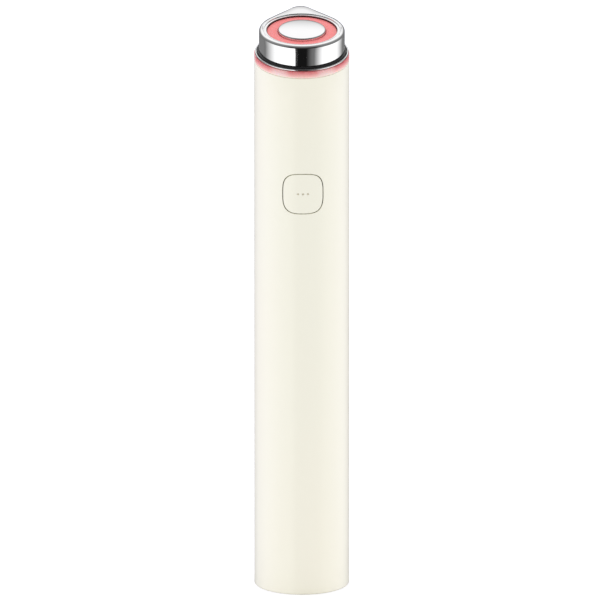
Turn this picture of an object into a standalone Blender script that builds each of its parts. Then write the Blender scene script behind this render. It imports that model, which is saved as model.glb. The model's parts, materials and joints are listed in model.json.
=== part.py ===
"""A handheld facial care pen: a slim cream tube, a slanted metal head with a lit ring, and one button.

Lengths are in metres. The pen stands on z = 0 round the Z axis, and its button faces -Y.
"""

import math

import bmesh
import bpy
from mathutils import Matrix, Vector

# Clearances
FIT_GAP = 0.0003
SEAM_GAP = 0.0001
SEAL_GAP = 0.00015
CUT_OVERRUN = 0.001

# How finely round shapes are divided
BODY_STEPS = 40
ROUND_STEPS = 24
SMALL_STEPS = 12
SCREW_STEPS = 12
DOT_STEPS = 10
TIP_STEPS = 5
FLANK_STEPS = 4
WALL_STEPS = 16
CORNER_STEPS = 4
SHARP_ANGLE = math.radians(35)
TWICE = 2

# Housing
HOUSING_RADIUS = 0.0120
HOUSING_WALL = 0.0015
HOUSING_HEIGHT = 0.1367
FOOT_CHAMFER = 0.0003
HEAD_TILT = math.radians(10)

# Base cap and its snap bead
CAP_RECESS = 0.0003
CAP_FLOOR = 0.0015
CAP_RIM_WALL = 0.0012
SNAP_HEIGHT = 0.0060
SNAP_LENGTH = 0.0008
SNAP_REACH = 0.0005

# Charging port
PORT_WIDTH = 0.00894
PORT_DEPTH = 0.00326
PORT_CORNER = 0.0013
PORT_WALL = 0.0003
PORT_LENGTH = 0.0074
PORT_RECESS = 0.0010
TONGUE_WIDTH = 0.0066
TONGUE_DEPTH = 0.0007
TONGUE_BLOCK = 0.0015
TONGUE_RECESS = 0.0015
CHARGING_BOARD_THICKNESS = 0.0010

# Inner frame
FRAME_WALL = 0.0010
LOWER_BAY_LENGTH = 0.0073
BLOCK_LENGTH = 0.0052
BULKHEAD = 0.0015
WIRE_NOTCH_HALF = 0.0034
WIRE_NOTCH_DEPTH = 0.0032
EAR_THICKNESS = 0.0012
EAR_HEIGHT = 0.0050
EAR_HALF_WIDTH = 0.0020
EAR_HOOK = 0.0009
EAR_HOOK_LENGTH = 0.0010
EAR_HOOK_DROP = 0.0005
CRADLE_THICKNESS = 0.0010
CRADLE_REACH = 0.0044

# Main board
BUTTON_ROOM = 0.0041
BOARD_THICKNESS = 0.0010
BOARD_SIDE_ROOM = 0.00092
BOARD_LOWER_ROOM = 0.0037
BOARD_UPPER_ROOM = 0.0005
SCREW_EDGE = 0.0025
SCREW_SHANK = 0.0008
SCREW_HEAD = 0.0016
SCREW_HEAD_HEIGHT = 0.0010
SCREW_SOCKET = 0.0008
SCREW_SOCKET_DEPTH = 0.0005
SCREW_DEPTH = 0.0058
SCREW_TIP = 0.0006

# Battery
CELL_FOOT_ROOM = 0.0015
CELL_HEAD_ROOM = 0.0030
CELL_EDGE = 0.0005
TAB_THICKNESS = 0.0003
TAB_HALF_WIDTH = 0.0015
TAB_SETBACK = 0.0011
LEAD_WALL_ROOM = 0.0012
LEAD_RADIUS = 0.00045
LEAD_SPREAD = 0.0012
SOCKET_WIDTH = 0.0070
SOCKET_DEPTH = 0.0034
SOCKET_LENGTH = 0.0040
CHIP_EDGE = 0.00015

# Electronics
BAY_LENGTH = 0.0420
STACK_GAP = 0.0014
CHIP_SIZE = 0.0050
CHIP_HEIGHT = 0.0009
CHIP_DROP = 0.0166
CHARGER_SIZE = 0.0032
CHARGER_RISE = 0.0200
CORE_RADIUS = 0.0032
CORE_NECK = 0.0015
CORE_FLANGE = 0.0010
CORE_LENGTH = 0.0082
WINDING_INSET = 0.0003
CAPACITOR_RADIUS = 0.0025
CAPACITOR_LENGTH = 0.0080
CAPACITOR_EDGE = 0.0004

# Button
BUTTON_DROP = 0.0320
BUTTON_WIDTH = 0.0097
BUTTON_TALL = 0.0099
BUTTON_SQUARENESS = 3.3
BUTTON_STEPS = 32
BUTTON_RING_SHARES = (0.35, 0.7, 1.0)
FLANGE_REACH = 0.0007
FLANGE_THICKNESS = 0.0006
DOT_RADIUS = 0.00025
DOT_PITCH = 0.00124
NUB_RADIUS = 0.0010
NUB_LENGTH = 0.0008
SWITCH_DROP = 0.0032
SWITCH_WIDTH = 0.0040
SWITCH_TALL = 0.0032
PLUNGER_RADIUS = 0.0009
PLUNGER_PROUD = 0.0005
PLUNGER_DEPTH = 0.0006
GUIDE_WIDTH = 0.0040
GUIDE_TALL = 0.0014
GUIDE_DEPTH = 0.0009
MODE_LED_WIDTH = 0.0007
MODE_LED_TALL = 0.0010
MODE_LED_HEIGHT = 0.0008

# Vibration motor
MOTOR_RADIUS = 0.0030
MOTOR_LENGTH = 0.0110
MOTOR_HEAD_ROOM = 0.0022
MOTOR_EDGE = 0.0004
SHAFT_RADIUS = 0.0005
SHAFT_DEPTH = 0.0080
WEIGHT_RADIUS = 0.0024
WEIGHT_HUB = 0.0014
WEIGHT_LENGTH = 0.0036
WEIGHT_GAP = 0.0004

# Head carrier
SPIGOT_LENGTH = 0.0104
SPIGOT_WALL = 0.0018
FLOOR_THICKNESS = 0.0012
FLOOR_DROP = 0.0002
SKIRT_WALL = 0.0008
SKIRT_BEAD = 0.0003
SKIRT_BEAD_LENGTH = 0.0006
SKIRT_BEAD_DROP = 0.0010
TOWER_WALL = 0.0011
SEAL_DEPTH = 0.0008
SEAL_TUBE = 0.0004
SEAL_STEPS = 6
POST_RADIUS = 0.0015
LIGHT_SLOT_HALF = 0.0014
WINDOW_SLOT_FOOT = 0.0005

# Metal head and its windows
MOOD_RING_HEIGHT = 0.0016
ELECTRODE_INSET = 0.0012
ELECTRODE_WALL = 0.0010
ELECTRODE_HEIGHT = 0.0083
ELECTRODE_TOP_WALL = 0.0010
FLANGE_INSET = 0.0002
FLANGE_HEIGHT = 0.0010
TIP_OVERHANG = 0.0039
TIP_ROUNDING = 0.0028
TIP_FALL = 0.00005
TIP_EDGE = 0.0006
EDGE_SHARES = ((0.0, 0.0), (0.3, 0.05), (0.7, 0.3), (1.0, 1.0))
BEZEL_WIDTH = 0.0019
OPENING_CHAMFER = 0.0003
WINDOW_FLANGE = 0.0007
WINDOW_RECESS = 0.0004
WINDOW_WIDTH = 0.0029
DISC_RIM = 0.0004
DISC_CROWN = 0.00065
DISC_SHARES = (0.3, 0.55, 0.8, 1.0)
STEM_RADIUS = 0.0020
STEM_LENGTH = 0.0062

# Light board in the head
LIGHT_BOARD_HEIGHT = 0.0030
LIGHT_BOARD_THICKNESS = 0.0010
LIGHT_BOARD_STEPS = 38
LED_WIDTH = 0.0016
LED_DEPTH = 0.0012
LED_HEIGHT = 0.0008
LED_COUNT = 6
HEAD_SCREW_SHANK = 0.0007
HEAD_SCREW_HEAD = 0.0013
HEAD_SCREW_HEAD_HEIGHT = 0.0009
HEAD_SCREW_SOCKET = 0.0006
HEAD_SCREW_DEPTH = 0.0032
POST_ANGLES = (math.radians(-90), math.radians(30), math.radians(150))
HEAD_LEAD_RADIUS = 0.0003
HEAD_LEAD_PITCH = 0.0016
HEAD_LEAD_ANGLE = math.radians(210)
LIGHT_LEAD_ANGLE = math.radians(70)

# Radii that follow from the sizes above
BORE_RADIUS = HOUSING_RADIUS - HOUSING_WALL
INNER_RADIUS = BORE_RADIUS - FIT_GAP
BAY_RADIUS = INNER_RADIUS - FRAME_WALL
ELECTRODE_RADIUS = HOUSING_RADIUS - ELECTRODE_INSET
ELECTRODE_BORE = ELECTRODE_RADIUS - ELECTRODE_WALL
SKIRT_RADIUS = ELECTRODE_BORE - FIT_GAP
SKIRT_BORE = SKIRT_RADIUS - SKIRT_WALL
SPIGOT_BORE = INNER_RADIUS - SPIGOT_WALL
OPENING_RADIUS = ELECTRODE_RADIUS - BEZEL_WIDTH
DISC_RADIUS = OPENING_RADIUS - WINDOW_WIDTH
TOWER_BORE = STEM_RADIUS + FIT_GAP
TOWER_RADIUS = TOWER_BORE + TOWER_WALL
POST_CIRCLE = (TOWER_RADIUS + SKIRT_BORE) / TWICE
LED_CIRCLE = (OPENING_RADIUS + DISC_RADIUS) / TWICE
LIGHT_LEAD_CIRCLE = (TOWER_RADIUS + LED_CIRCLE) / TWICE

# Depths from the axis: -Y is the button's side
BOARD_FACE = -(BORE_RADIUS - BUTTON_ROOM)
BOARD_BACK = BOARD_FACE + BOARD_THICKNESS
FRAME_FACE = BOARD_BACK + FIT_GAP
CELL_RADIUS = (BAY_RADIUS - FIT_GAP - FRAME_FACE) / TWICE
CELL_DEPTH = FRAME_FACE + CELL_RADIUS
BOARD_HALF_WIDTH = math.sqrt(BORE_RADIUS**2 - BOARD_FACE**2) - BOARD_SIDE_ROOM
SCREW_OFFSET = BOARD_HALF_WIDTH - SCREW_EDGE
BUTTON_BACK_RADIUS = INNER_RADIUS - FLANGE_THICKNESS
NUB_END = -(BUTTON_BACK_RADIUS - NUB_LENGTH)
PLUNGER_END = NUB_END + FIT_GAP
SWITCH_FACE = PLUNGER_END + PLUNGER_PROUD
SWITCH_BACK = BOARD_FACE - FIT_GAP
MOTOR_DEPTH = BAY_RADIUS - FIT_GAP - MOTOR_RADIUS
HEAD_LEAD_DEPTH = FRAME_FACE + WIRE_NOTCH_DEPTH / TWICE
TAB_FRONT = FRAME_FACE + TAB_SETBACK
BATTERY_LEAD_DEPTH = TAB_FRONT + TAB_HALF_WIDTH / TWICE
BATTERY_LEAD_ASIDE = math.sqrt((BAY_RADIUS - LEAD_WALL_ROOM) ** 2 - BATTERY_LEAD_DEPTH**2)
TAB_REACH = BATTERY_LEAD_ASIDE - LEAD_RADIUS - FIT_GAP

# Heights from the foot up
CAP_TOP = CAP_RECESS + CAP_FLOOR
PORT_MOUTH = CAP_RECESS + PORT_RECESS
PORT_TOP = PORT_MOUTH + PORT_LENGTH
CHARGING_BOARD_FOOT = PORT_TOP + FIT_GAP
CHARGING_BOARD_TOP = CHARGING_BOARD_FOOT + CHARGING_BOARD_THICKNESS
FRAME_FOOT = CHARGING_BOARD_TOP + FIT_GAP
LOWER_BLOCK_FOOT = FRAME_FOOT + LOWER_BAY_LENGTH
LOWER_BLOCK_TOP = LOWER_BLOCK_FOOT + BLOCK_LENGTH
CELL_FOOT = LOWER_BLOCK_TOP + CELL_FOOT_ROOM

# Heights from the slanted cut down
BUTTON_HEIGHT = HOUSING_HEIGHT - BUTTON_DROP
SWITCH_HEIGHT = BUTTON_HEIGHT - SWITCH_DROP
SPIGOT_FOOT = HOUSING_HEIGHT - SPIGOT_LENGTH
FRAME_TOP = SPIGOT_FOOT - FIT_GAP
UPPER_BLOCK_FOOT = FRAME_TOP - BLOCK_LENGTH
BAY_FOOT = UPPER_BLOCK_FOOT - BAY_LENGTH
CELL_BAY_TOP = BAY_FOOT - BULKHEAD
CELL_TOP = CELL_BAY_TOP - CELL_HEAD_ROOM
BOARD_FOOT = FRAME_FOOT + BOARD_LOWER_ROOM
BOARD_TOP = FRAME_TOP - BOARD_UPPER_ROOM
SCREW_HEIGHTS = (LOWER_BLOCK_FOOT + BLOCK_LENGTH / TWICE, UPPER_BLOCK_FOOT + BLOCK_LENGTH / TWICE)
SEAL_TOP = HOUSING_HEIGHT - INNER_RADIUS * math.tan(HEAD_TILT) - FLOOR_THICKNESS - FLOOR_DROP - SEAL_DEPTH
SEAL_FOOT = SEAL_TOP - SEAL_TUBE * TWICE - SEAL_GAP * TWICE

# Places up the electronics bay, each piece above the one before
SOCKET_FOOT = BAY_FOOT + STACK_GAP
CORE_FOOT = SOCKET_FOOT + SOCKET_LENGTH + STACK_GAP
CAPACITOR_FOOT = CORE_FOOT + CORE_LENGTH + STACK_GAP
HEAD_SOCKET_FOOT = CAPACITOR_FOOT + CAPACITOR_LENGTH + STACK_GAP
HEAD_SOCKET_TOP = HEAD_SOCKET_FOOT + SOCKET_LENGTH
MOTOR_TOP = UPPER_BLOCK_FOOT - MOTOR_HEAD_ROOM
MOTOR_FOOT = MOTOR_TOP - MOTOR_LENGTH
WEIGHT_TOP = MOTOR_FOOT - WEIGHT_GAP
WEIGHT_FOOT = WEIGHT_TOP - WEIGHT_LENGTH

# Heights in the head, square to the slanted cut
FLOOR_TOP = -FLOOR_DROP
FLOOR_FOOT = FLOOR_TOP - FLOOR_THICKNESS
MOOD_RING_TOP = SEAM_GAP + MOOD_RING_HEIGHT
FLANGE_FOOT = MOOD_RING_TOP + FIT_GAP
FLANGE_TOP = FLANGE_FOOT + FLANGE_HEIGHT
OPENING_FOOT = ELECTRODE_HEIGHT - ELECTRODE_TOP_WALL
WINDOW_RIM_TOP = OPENING_FOOT - FIT_GAP
WINDOW_FOOT = WINDOW_RIM_TOP - WINDOW_FLANGE
WINDOW_TOP = ELECTRODE_HEIGHT - WINDOW_RECESS
SKIRT_TOP = WINDOW_FOOT - FIT_GAP
BEAD_TOP = SKIRT_TOP - SKIRT_BEAD_DROP
BEAD_FOOT = BEAD_TOP - SKIRT_BEAD_LENGTH
DISC_FOOT = OPENING_FOOT + FIT_GAP
DISC_EDGE_TOP = DISC_FOOT + DISC_RIM
LIGHT_BOARD_TOP = LIGHT_BOARD_HEIGHT + LIGHT_BOARD_THICKNESS
POST_TOP = LIGHT_BOARD_HEIGHT - FIT_GAP
LED_ANGLES = [math.tau * count / LED_COUNT for count in range(LED_COUNT)]
OUTER_LEAD_HEIGHT = LIGHT_BOARD_HEIGHT - FIT_GAP - HEAD_LEAD_RADIUS

HEAD_PLACE = Matrix.Translation((0, 0, HOUSING_HEIGHT)) @ Matrix.Rotation(HEAD_TILT, 4, "X")
FACING_FRONT = (math.radians(90), 0, 0)
UPRIGHT = (0, 0, 0)

# Colours as linear red, green and blue
CREAM = (0.90, 0.87, 0.74)
CREAM_DARK = (0.80, 0.77, 0.64)
PINK = (0.86, 0.19, 0.22)
PINK_LIT = (0.98, 0.27, 0.29)
STEEL = (0.80, 0.80, 0.81)
TIN = (0.62, 0.62, 0.63)
COPPER = (0.72, 0.30, 0.12)
BOARD_GREEN = (0.02, 0.16, 0.08)
BOARD_WHITE = (0.80, 0.81, 0.80)
BLACK = (0.015, 0.015, 0.017)
CHARCOAL = (0.05, 0.05, 0.055)
FRAME_GREY = (0.55, 0.56, 0.56)
CELL_BLUE = (0.05, 0.16, 0.40)
RED = (0.55, 0.02, 0.02)
LED_YELLOW = (0.80, 0.66, 0.16)
CLEAR_WHITE = (0.88, 0.88, 0.86)
MATTE, SATIN, GLOSS, POLISHED = 0.65, 0.40, 0.20, 0.08


def clear_scene():
    for leftover in list(bpy.data.objects):
        bpy.data.objects.remove(leftover)


# Rings of points


def ring(radius, height, steps=ROUND_STEPS):
    """A level ring; a ring of no radius is one point."""
    if radius == 0:
        return [Vector((0, 0, height))]
    angles = [math.tau * step / steps for step in range(steps)]
    return [Vector((radius * math.cos(a), radius * math.sin(a), height)) for a in angles]


def slanted_ring(radius, rise, steps=BODY_STEPS):
    """The ring in which an upright cylinder meets the plane that lies a rise above the slanted cut."""
    level = HOUSING_HEIGHT + rise / math.cos(HEAD_TILT)
    points = ring(radius, level, steps)
    for point in points:
        point.z += point.y * math.tan(HEAD_TILT)
    return points


def tilted_ring(radius, rise, steps=BODY_STEPS):
    """A ring round the head's own axis."""
    return [HEAD_PLACE @ point for point in ring(radius, rise, steps)]


def hex_ring(corner_radius, height, steps):
    """A hexagon with as many points as the round ring that it is joined to."""
    points = []
    side = math.radians(60)
    for step in range(steps):
        angle = math.tau * step / steps
        reach = corner_radius * math.cos(side / TWICE) / math.cos(angle % side - side / TWICE)
        points.append(Vector((reach * math.cos(angle), reach * math.sin(angle), height)))
    return points


def rounded_rectangle(width, depth, corner, height):
    """A level rectangle with round corners, centred on the axis."""
    points = []
    quarter = math.radians(90)
    for corner_count, (across, along) in enumerate(((1, 1), (-1, 1), (-1, -1), (1, -1))):
        centre = Vector((across * (width / TWICE - corner), along * (depth / TWICE - corner), height))
        for step in range(CORNER_STEPS + 1):
            angle = quarter * (corner_count + step / CORNER_STEPS)
            points.append(centre + corner * Vector((math.cos(angle), math.sin(angle), 0)))
    return points


def squircle(margin):
    """Points (x, z) of the button's outline, a margin wider all round, whose sides bulge into its corners."""
    half_width, half_tall = BUTTON_WIDTH / TWICE + margin, BUTTON_TALL / TWICE + margin
    points = []
    for step in range(BUTTON_STEPS):
        angle = math.tau * step / BUTTON_STEPS
        across, up = math.cos(angle), math.sin(angle)
        size = (abs(across) ** BUTTON_SQUARENESS + abs(up) ** BUTTON_SQUARENESS) ** (1 / BUTTON_SQUARENESS)
        points.append((half_width * across / size, half_tall * up / size))
    return points


def squircle_on_cylinder(margin, radius, share=1.0):
    """The button's outline, drawn in by the share, on the front of an upright cylinder."""
    points = []
    for across, up in squircle(margin):
        x, z = across * share, up * share
        points.append(Vector((x, -math.sqrt(radius**2 - x**2), z)))
    return points


def teardrop_angles():
    """Angles from the tip's direction, close together where the tip is narrow."""
    turn = math.radians(90) - flank_angle()
    tip_centre = ELECTRODE_RADIUS + TIP_OVERHANG - TIP_ROUNDING
    half = []
    for step in range(TIP_STEPS):
        bend = turn * step / TIP_STEPS
        half.append(math.atan2(TIP_ROUNDING * math.sin(bend), tip_centre + TIP_ROUNDING * math.cos(bend)))
    flank_start = math.atan2(TIP_ROUNDING * math.sin(turn), tip_centre + TIP_ROUNDING * math.cos(turn))
    half += [flank_start + (turn - flank_start) * step / FLANK_STEPS for step in range(FLANK_STEPS)]
    half += [turn + (math.pi - turn) * step / WALL_STEPS for step in range(WALL_STEPS + 1)]
    return half + [-angle for angle in reversed(half[1:-1])]


def flank_angle():
    """Half of the angle between the two flat flanks of the teardrop."""
    tip_centre = ELECTRODE_RADIUS + TIP_OVERHANG - TIP_ROUNDING
    return math.asin((ELECTRODE_RADIUS - TIP_ROUNDING) / tip_centre)


def teardrop_reach(angle, overhang_share):
    """How far the teardrop reaches in a direction; at a share of 0 it is the plain round wall."""
    overhang = TIP_OVERHANG * overhang_share
    tip_centre = ELECTRODE_RADIUS + overhang - TIP_ROUNDING
    turn = math.acos((ELECTRODE_RADIUS - TIP_ROUNDING) / tip_centre)
    aside = abs(angle)
    tip_side = math.atan2(TIP_ROUNDING * math.sin(turn), tip_centre + TIP_ROUNDING * math.cos(turn))
    if aside >= turn:
        return ELECTRODE_RADIUS
    if aside >= tip_side:
        return ELECTRODE_RADIUS / math.cos(turn - aside)
    return tip_centre * math.cos(aside) + math.sqrt(TIP_ROUNDING**2 - (tip_centre * math.sin(aside)) ** 2)


def head_ring(reach_of, height_of):
    """A ring of the metal cap in the head's own frame, from a reach and a height for each angle."""
    points = []
    for angle in teardrop_angles():
        reach = reach_of(angle)
        points.append(Vector((-reach * math.sin(angle), reach * math.cos(angle), height_of(angle))))
    return points


# Meshes and objects


def skin(name, rings, joins_ends=False):
    """A closed mesh through the rings, in order. Open ends get a flat cap, or meet in a ring of one point."""
    form = bmesh.new()
    rows = [[form.verts.new(point) for point in points] for points in rings]
    following = rows[1:] + (rows[:1] if joins_ends else [])
    for row, after in zip(rows, following):
        for spot in range(max(len(row), len(after))):
            beside = (spot + 1) % max(len(row), len(after))
            near = [row[spot], row[beside]] if len(row) > 1 else [row[0]]
            far = [after[beside], after[spot]] if len(after) > 1 else [after[0]]
            form.faces.new(near + far)
    if not joins_ends:
        for end in (rows[0], rows[-1]):
            if len(end) > 1:
                form.faces.new(end)
    bmesh.ops.recalc_face_normals(form, faces=form.faces)
    mesh = bpy.data.meshes.new(name)
    form.to_mesh(mesh)
    form.free()
    mesh.shade_smooth()
    mesh.set_sharp_from_angle(angle=SHARP_ANGLE)
    return mesh


def place(name, data, location=(0, 0, 0), rotation=UPRIGHT, parent=None):
    piece = bpy.data.objects.new(name, data)
    bpy.context.scene.collection.objects.link(piece)
    piece.location = location
    piece.rotation_euler = rotation
    piece.parent = parent
    return piece


def finish(piece, colour, roughness, metallic=0.0):
    material = bpy.data.materials.new(piece.name + "_finish")
    material.use_nodes = True
    shader = material.node_tree.nodes["Principled BSDF"]
    shader.inputs["Base Color"].default_value = (*colour, 1)
    shader.inputs["Roughness"].default_value = roughness
    shader.inputs["Metallic"].default_value = metallic
    piece.data.materials.append(material)
    return piece


def turned(name, section, steps=ROUND_STEPS, **where):
    """A piece turned round its own Z axis. A section that starts off the axis closes on itself."""
    rings = [ring(radius, height, steps) for radius, height in section]
    return place(name, skin(name, rings, joins_ends=section[0][0] != 0), **where)


def block(name, low, high, **where):
    """A box between two corners."""
    rings = []
    for z in (low[2], high[2]):
        corners = ((low[0], low[1]), (high[0], low[1]), (high[0], high[1]), (low[0], high[1]))
        rings.append([Vector((x, y, z)) for x, y in corners])
    return place(name, skin(name, rings), **where)


def soften(piece, width):
    bevel = piece.modifiers.new("soft_edge", "BEVEL")
    bevel.width = width
    bevel.segments = 1
    return piece


def combine(piece, tool, operation):
    """Adds or removes the tool's shape. The tool itself isn't a part of the pen."""
    tool.hide_render = True
    tool.display_type = "WIRE"
    step = piece.modifiers.new(tool.name, "BOOLEAN")
    step.operation = operation
    step.object = tool
    return piece


def cut(piece, *tools):
    for tool in tools:
        combine(piece, tool, "DIFFERENCE")
    return piece


def join(piece, *tools):
    for tool in tools:
        combine(piece, tool, "UNION")
    return piece


def rod(name, radius, low, high, steps=SMALL_STEPS, **where):
    """A plain round bar along its own Z axis."""
    return turned(name, [(0, low), (radius, low), (radius, high), (0, high)], steps, **where)


def lead(name, points, radius, colour):
    """An insulated wire through the points."""
    curve = bpy.data.curves.new(name, "CURVE")
    curve.dimensions = "3D"
    curve.bevel_depth = radius
    curve.bevel_resolution = 1
    curve.resolution_u = 3
    curve.use_fill_caps = True
    spline = curve.splines.new("BEZIER")
    spline.bezier_points.add(len(points) - 1)
    for knot, point in zip(spline.bezier_points, points):
        knot.co = point
        knot.handle_left_type = "AUTO"
        knot.handle_right_type = "AUTO"
    return finish(place(name, curve), colour, SATIN)


def screw(name, head, head_height, shank, depth, socket, **where):
    """A screw with a hexagon socket. Its head sits on its own z = 0, and its shank points down."""
    socket_floor = head_height - SCREW_SOCKET_DEPTH
    rings = [ring(0, socket_floor), hex_ring(socket, socket_floor, SCREW_STEPS)]
    rings.append(hex_ring(socket, head_height, SCREW_STEPS))
    section = ((head, head_height), (head, 0), (shank, 0), (shank, -depth + SCREW_TIP), (0, -depth))
    rings += [ring(radius, height, SCREW_STEPS) for radius, height in section]
    return finish(place(name, skin(name, rings), **where), TIN, SATIN, 1.0)


# Housing and base


def make_housing():
    groove_foot = SNAP_HEIGHT - FIT_GAP
    groove_top = SNAP_HEIGHT + SNAP_LENGTH + FIT_GAP
    groove_radius = INNER_RADIUS + SNAP_REACH + FIT_GAP
    rings = [
        ring(BORE_RADIUS, 0, BODY_STEPS),
        ring(HOUSING_RADIUS - FOOT_CHAMFER, 0, BODY_STEPS),
        ring(HOUSING_RADIUS, FOOT_CHAMFER, BODY_STEPS),
        slanted_ring(HOUSING_RADIUS, 0),
        slanted_ring(BORE_RADIUS, 0),
        ring(BORE_RADIUS, groove_top, BODY_STEPS),
        ring(groove_radius, groove_top, BODY_STEPS),
        ring(groove_radius, groove_foot, BODY_STEPS),
        ring(BORE_RADIUS, groove_foot, BODY_STEPS),
    ]
    housing = place("main_housing", skin("main_housing", rings, joins_ends=True))
    outline = squircle(FIT_GAP)
    outside = -HOUSING_RADIUS - CUT_OVERRUN
    sides = [[Vector((x, y, BUTTON_HEIGHT + z)) for x, z in outline] for y in (outside, 0)]
    window = place("button_window_tool", skin("button_window_tool", sides))
    return finish(cut(housing, window), CREAM, SATIN)


def port_opening(name, low, high):
    """The shape of the charging port with its gap, for cutting."""
    width, depth, corner = (size + FIT_GAP * TWICE for size in (PORT_WIDTH, PORT_DEPTH, PORT_CORNER))
    rings = [rounded_rectangle(width, depth, corner, height) for height in (low, high)]
    return place(name, skin(name, rings))


def make_base_cap():
    rim_bore = INNER_RADIUS - CAP_RIM_WALL
    section = [
        (0, CAP_RECESS),
        (INNER_RADIUS, CAP_RECESS),
        (INNER_RADIUS, SNAP_HEIGHT),
        (INNER_RADIUS + SNAP_REACH, SNAP_HEIGHT + SNAP_LENGTH / TWICE),
        (INNER_RADIUS, SNAP_HEIGHT + SNAP_LENGTH),
        (INNER_RADIUS, PORT_TOP),
        (rim_bore, PORT_TOP),
        (rim_bore, CAP_TOP),
        (0, CAP_TOP),
    ]
    cap = turned("base_cap", section, BODY_STEPS)
    tool = port_opening("port_opening_tool", CAP_RECESS - CUT_OVERRUN, CAP_TOP + CUT_OVERRUN)
    return finish(cut(cap, tool), CREAM, SATIN)


def make_charging_port():
    inner = [size - PORT_WALL * TWICE for size in (PORT_WIDTH, PORT_DEPTH)]
    rings = [
        rounded_rectangle(PORT_WIDTH, PORT_DEPTH, PORT_CORNER, PORT_MOUTH),
        rounded_rectangle(PORT_WIDTH, PORT_DEPTH, PORT_CORNER, PORT_TOP),
        rounded_rectangle(*inner, PORT_CORNER - PORT_WALL, PORT_TOP),
        rounded_rectangle(*inner, PORT_CORNER - PORT_WALL, PORT_MOUTH),
    ]
    finish(place("usb_port_shell", skin("usb_port_shell", rings, joins_ends=True)), TIN, SATIN, 1.0)
    block_width, block_depth = (size - FIT_GAP * TWICE for size in inner)
    block_foot = PORT_TOP - TONGUE_BLOCK
    block_corner, tongue_corner = PORT_CORNER - PORT_WALL - FIT_GAP, TONGUE_DEPTH / TWICE - CHIP_EDGE
    rings = [
        rounded_rectangle(block_width, block_depth, block_corner, PORT_TOP),
        rounded_rectangle(block_width, block_depth, block_corner, block_foot),
        rounded_rectangle(TONGUE_WIDTH, TONGUE_DEPTH, tongue_corner, block_foot),
        rounded_rectangle(TONGUE_WIDTH, TONGUE_DEPTH, tongue_corner, PORT_MOUTH + TONGUE_RECESS),
    ]
    finish(place("usb_port_tongue", skin("usb_port_tongue", rings)), BLACK, SATIN)
    rod("charging_board", BORE_RADIUS - FIT_GAP * TWICE, CHARGING_BOARD_FOOT, CHARGING_BOARD_TOP, ROUND_STEPS)
    finish(bpy.data.objects["charging_board"], BOARD_GREEN, SATIN)
    ahead = (BOARD_FACE - BORE_RADIUS) / TWICE
    points = [
        (0, ahead, CHARGING_BOARD_TOP + FIT_GAP),
        (0, ahead, BOARD_FOOT),
        (0, ahead, BOARD_FOOT + SCREW_HEAD),
        (0, BOARD_FACE - FIT_GAP, BOARD_FOOT + SCREW_HEAD * TWICE),
    ]
    lead("charging_lead", points, LEAD_RADIUS, BLACK)


# Inner frame and main board


def bay_tool(name, low, high):
    return rod(name, BAY_RADIUS, low, high, BODY_STEPS)


def notch_tool(name, low, high):
    front = FRAME_FACE - CUT_OVERRUN
    return block(name, (-WIRE_NOTCH_HALF, front, low), (WIRE_NOTCH_HALF, FRAME_FACE + WIRE_NOTCH_DEPTH, high))


def ear(name, side):
    """A springy latch on the frame's top, whose hook points outwards."""
    outer = SPIGOT_BORE - FIT_GAP
    inner = outer - EAR_THICKNESS
    top = FRAME_TOP + EAR_HEIGHT
    hook_top = top - EAR_HOOK_DROP
    hook_foot = hook_top - EAR_HOOK_LENGTH
    foot = FRAME_TOP - CUT_OVERRUN
    outline = (
        (inner, foot),
        (outer, foot),
        (outer, hook_foot),
        (outer + EAR_HOOK, hook_foot),
        (outer, hook_top),
        (outer, top),
        (inner, top),
    )
    rings = []
    for y in (-EAR_HALF_WIDTH, EAR_HALF_WIDTH):
        rings.append([Vector((side * x, y, z)) for x, z in outline])
    return place(name, skin(name, rings))


def cradle_rib(name, side):
    """A rib beside the motor, rooted in the frame's back wall."""
    near, far = MOTOR_RADIUS + FIT_GAP, MOTOR_RADIUS + FIT_GAP + CRADLE_THICKNESS
    root = math.sqrt((INNER_RADIUS - FRAME_WALL / TWICE) ** 2 - far**2)
    low, high = sorted((side * near, side * far))
    corners = ((low, root - CRADLE_REACH, MOTOR_FOOT), (high, root, MOTOR_TOP))
    return block(name, *corners)


def make_inner_frame():
    start = math.asin(FRAME_FACE / INNER_RADIUS)
    sweep = math.pi - start * TWICE
    angles = [start + sweep * step / BODY_STEPS for step in range(BODY_STEPS + 1)]
    rings = []
    for height in (FRAME_FOOT, FRAME_TOP):
        rings.append([Vector(circle_point(INNER_RADIUS, angle, height)) for angle in angles])
    frame = place("inner_frame", skin("inner_frame", rings))
    cut(frame, bay_tool("lower_bay_tool", FRAME_FOOT - CUT_OVERRUN, LOWER_BLOCK_FOOT))
    cut(frame, bay_tool("cell_bay_tool", LOWER_BLOCK_TOP, CELL_BAY_TOP))
    cut(frame, bay_tool("electronics_bay_tool", BAY_FOOT, UPPER_BLOCK_FOOT))
    cut(frame, notch_tool("bulkhead_notch_tool", CELL_BAY_TOP - CUT_OVERRUN, BAY_FOOT + CUT_OVERRUN))
    cut(frame, notch_tool("upper_notch_tool", UPPER_BLOCK_FOOT - CUT_OVERRUN, FRAME_TOP + CUT_OVERRUN))
    for count, (x, z) in enumerate(screw_places(), 1):
        hole = (-CUT_OVERRUN, SCREW_DEPTH + FIT_GAP)
        place_at = {"location": (x, FRAME_FACE, z), "rotation": FACING_FRONT}
        cut(frame, rod(f"frame_hole_tool_{count}", SCREW_SHANK + FIT_GAP, -hole[1], -hole[0], **place_at))
    join(frame, ear("right_ear_tool", 1), ear("left_ear_tool", -1))
    join(frame, cradle_rib("right_rib_tool", 1), cradle_rib("left_rib_tool", -1))
    return finish(frame, FRAME_GREY, MATTE)


def screw_places():
    """Where the board's four screws stand, as (x, z)."""
    return [(side * SCREW_OFFSET, height) for height in SCREW_HEIGHTS for side in (1, -1)]


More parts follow.
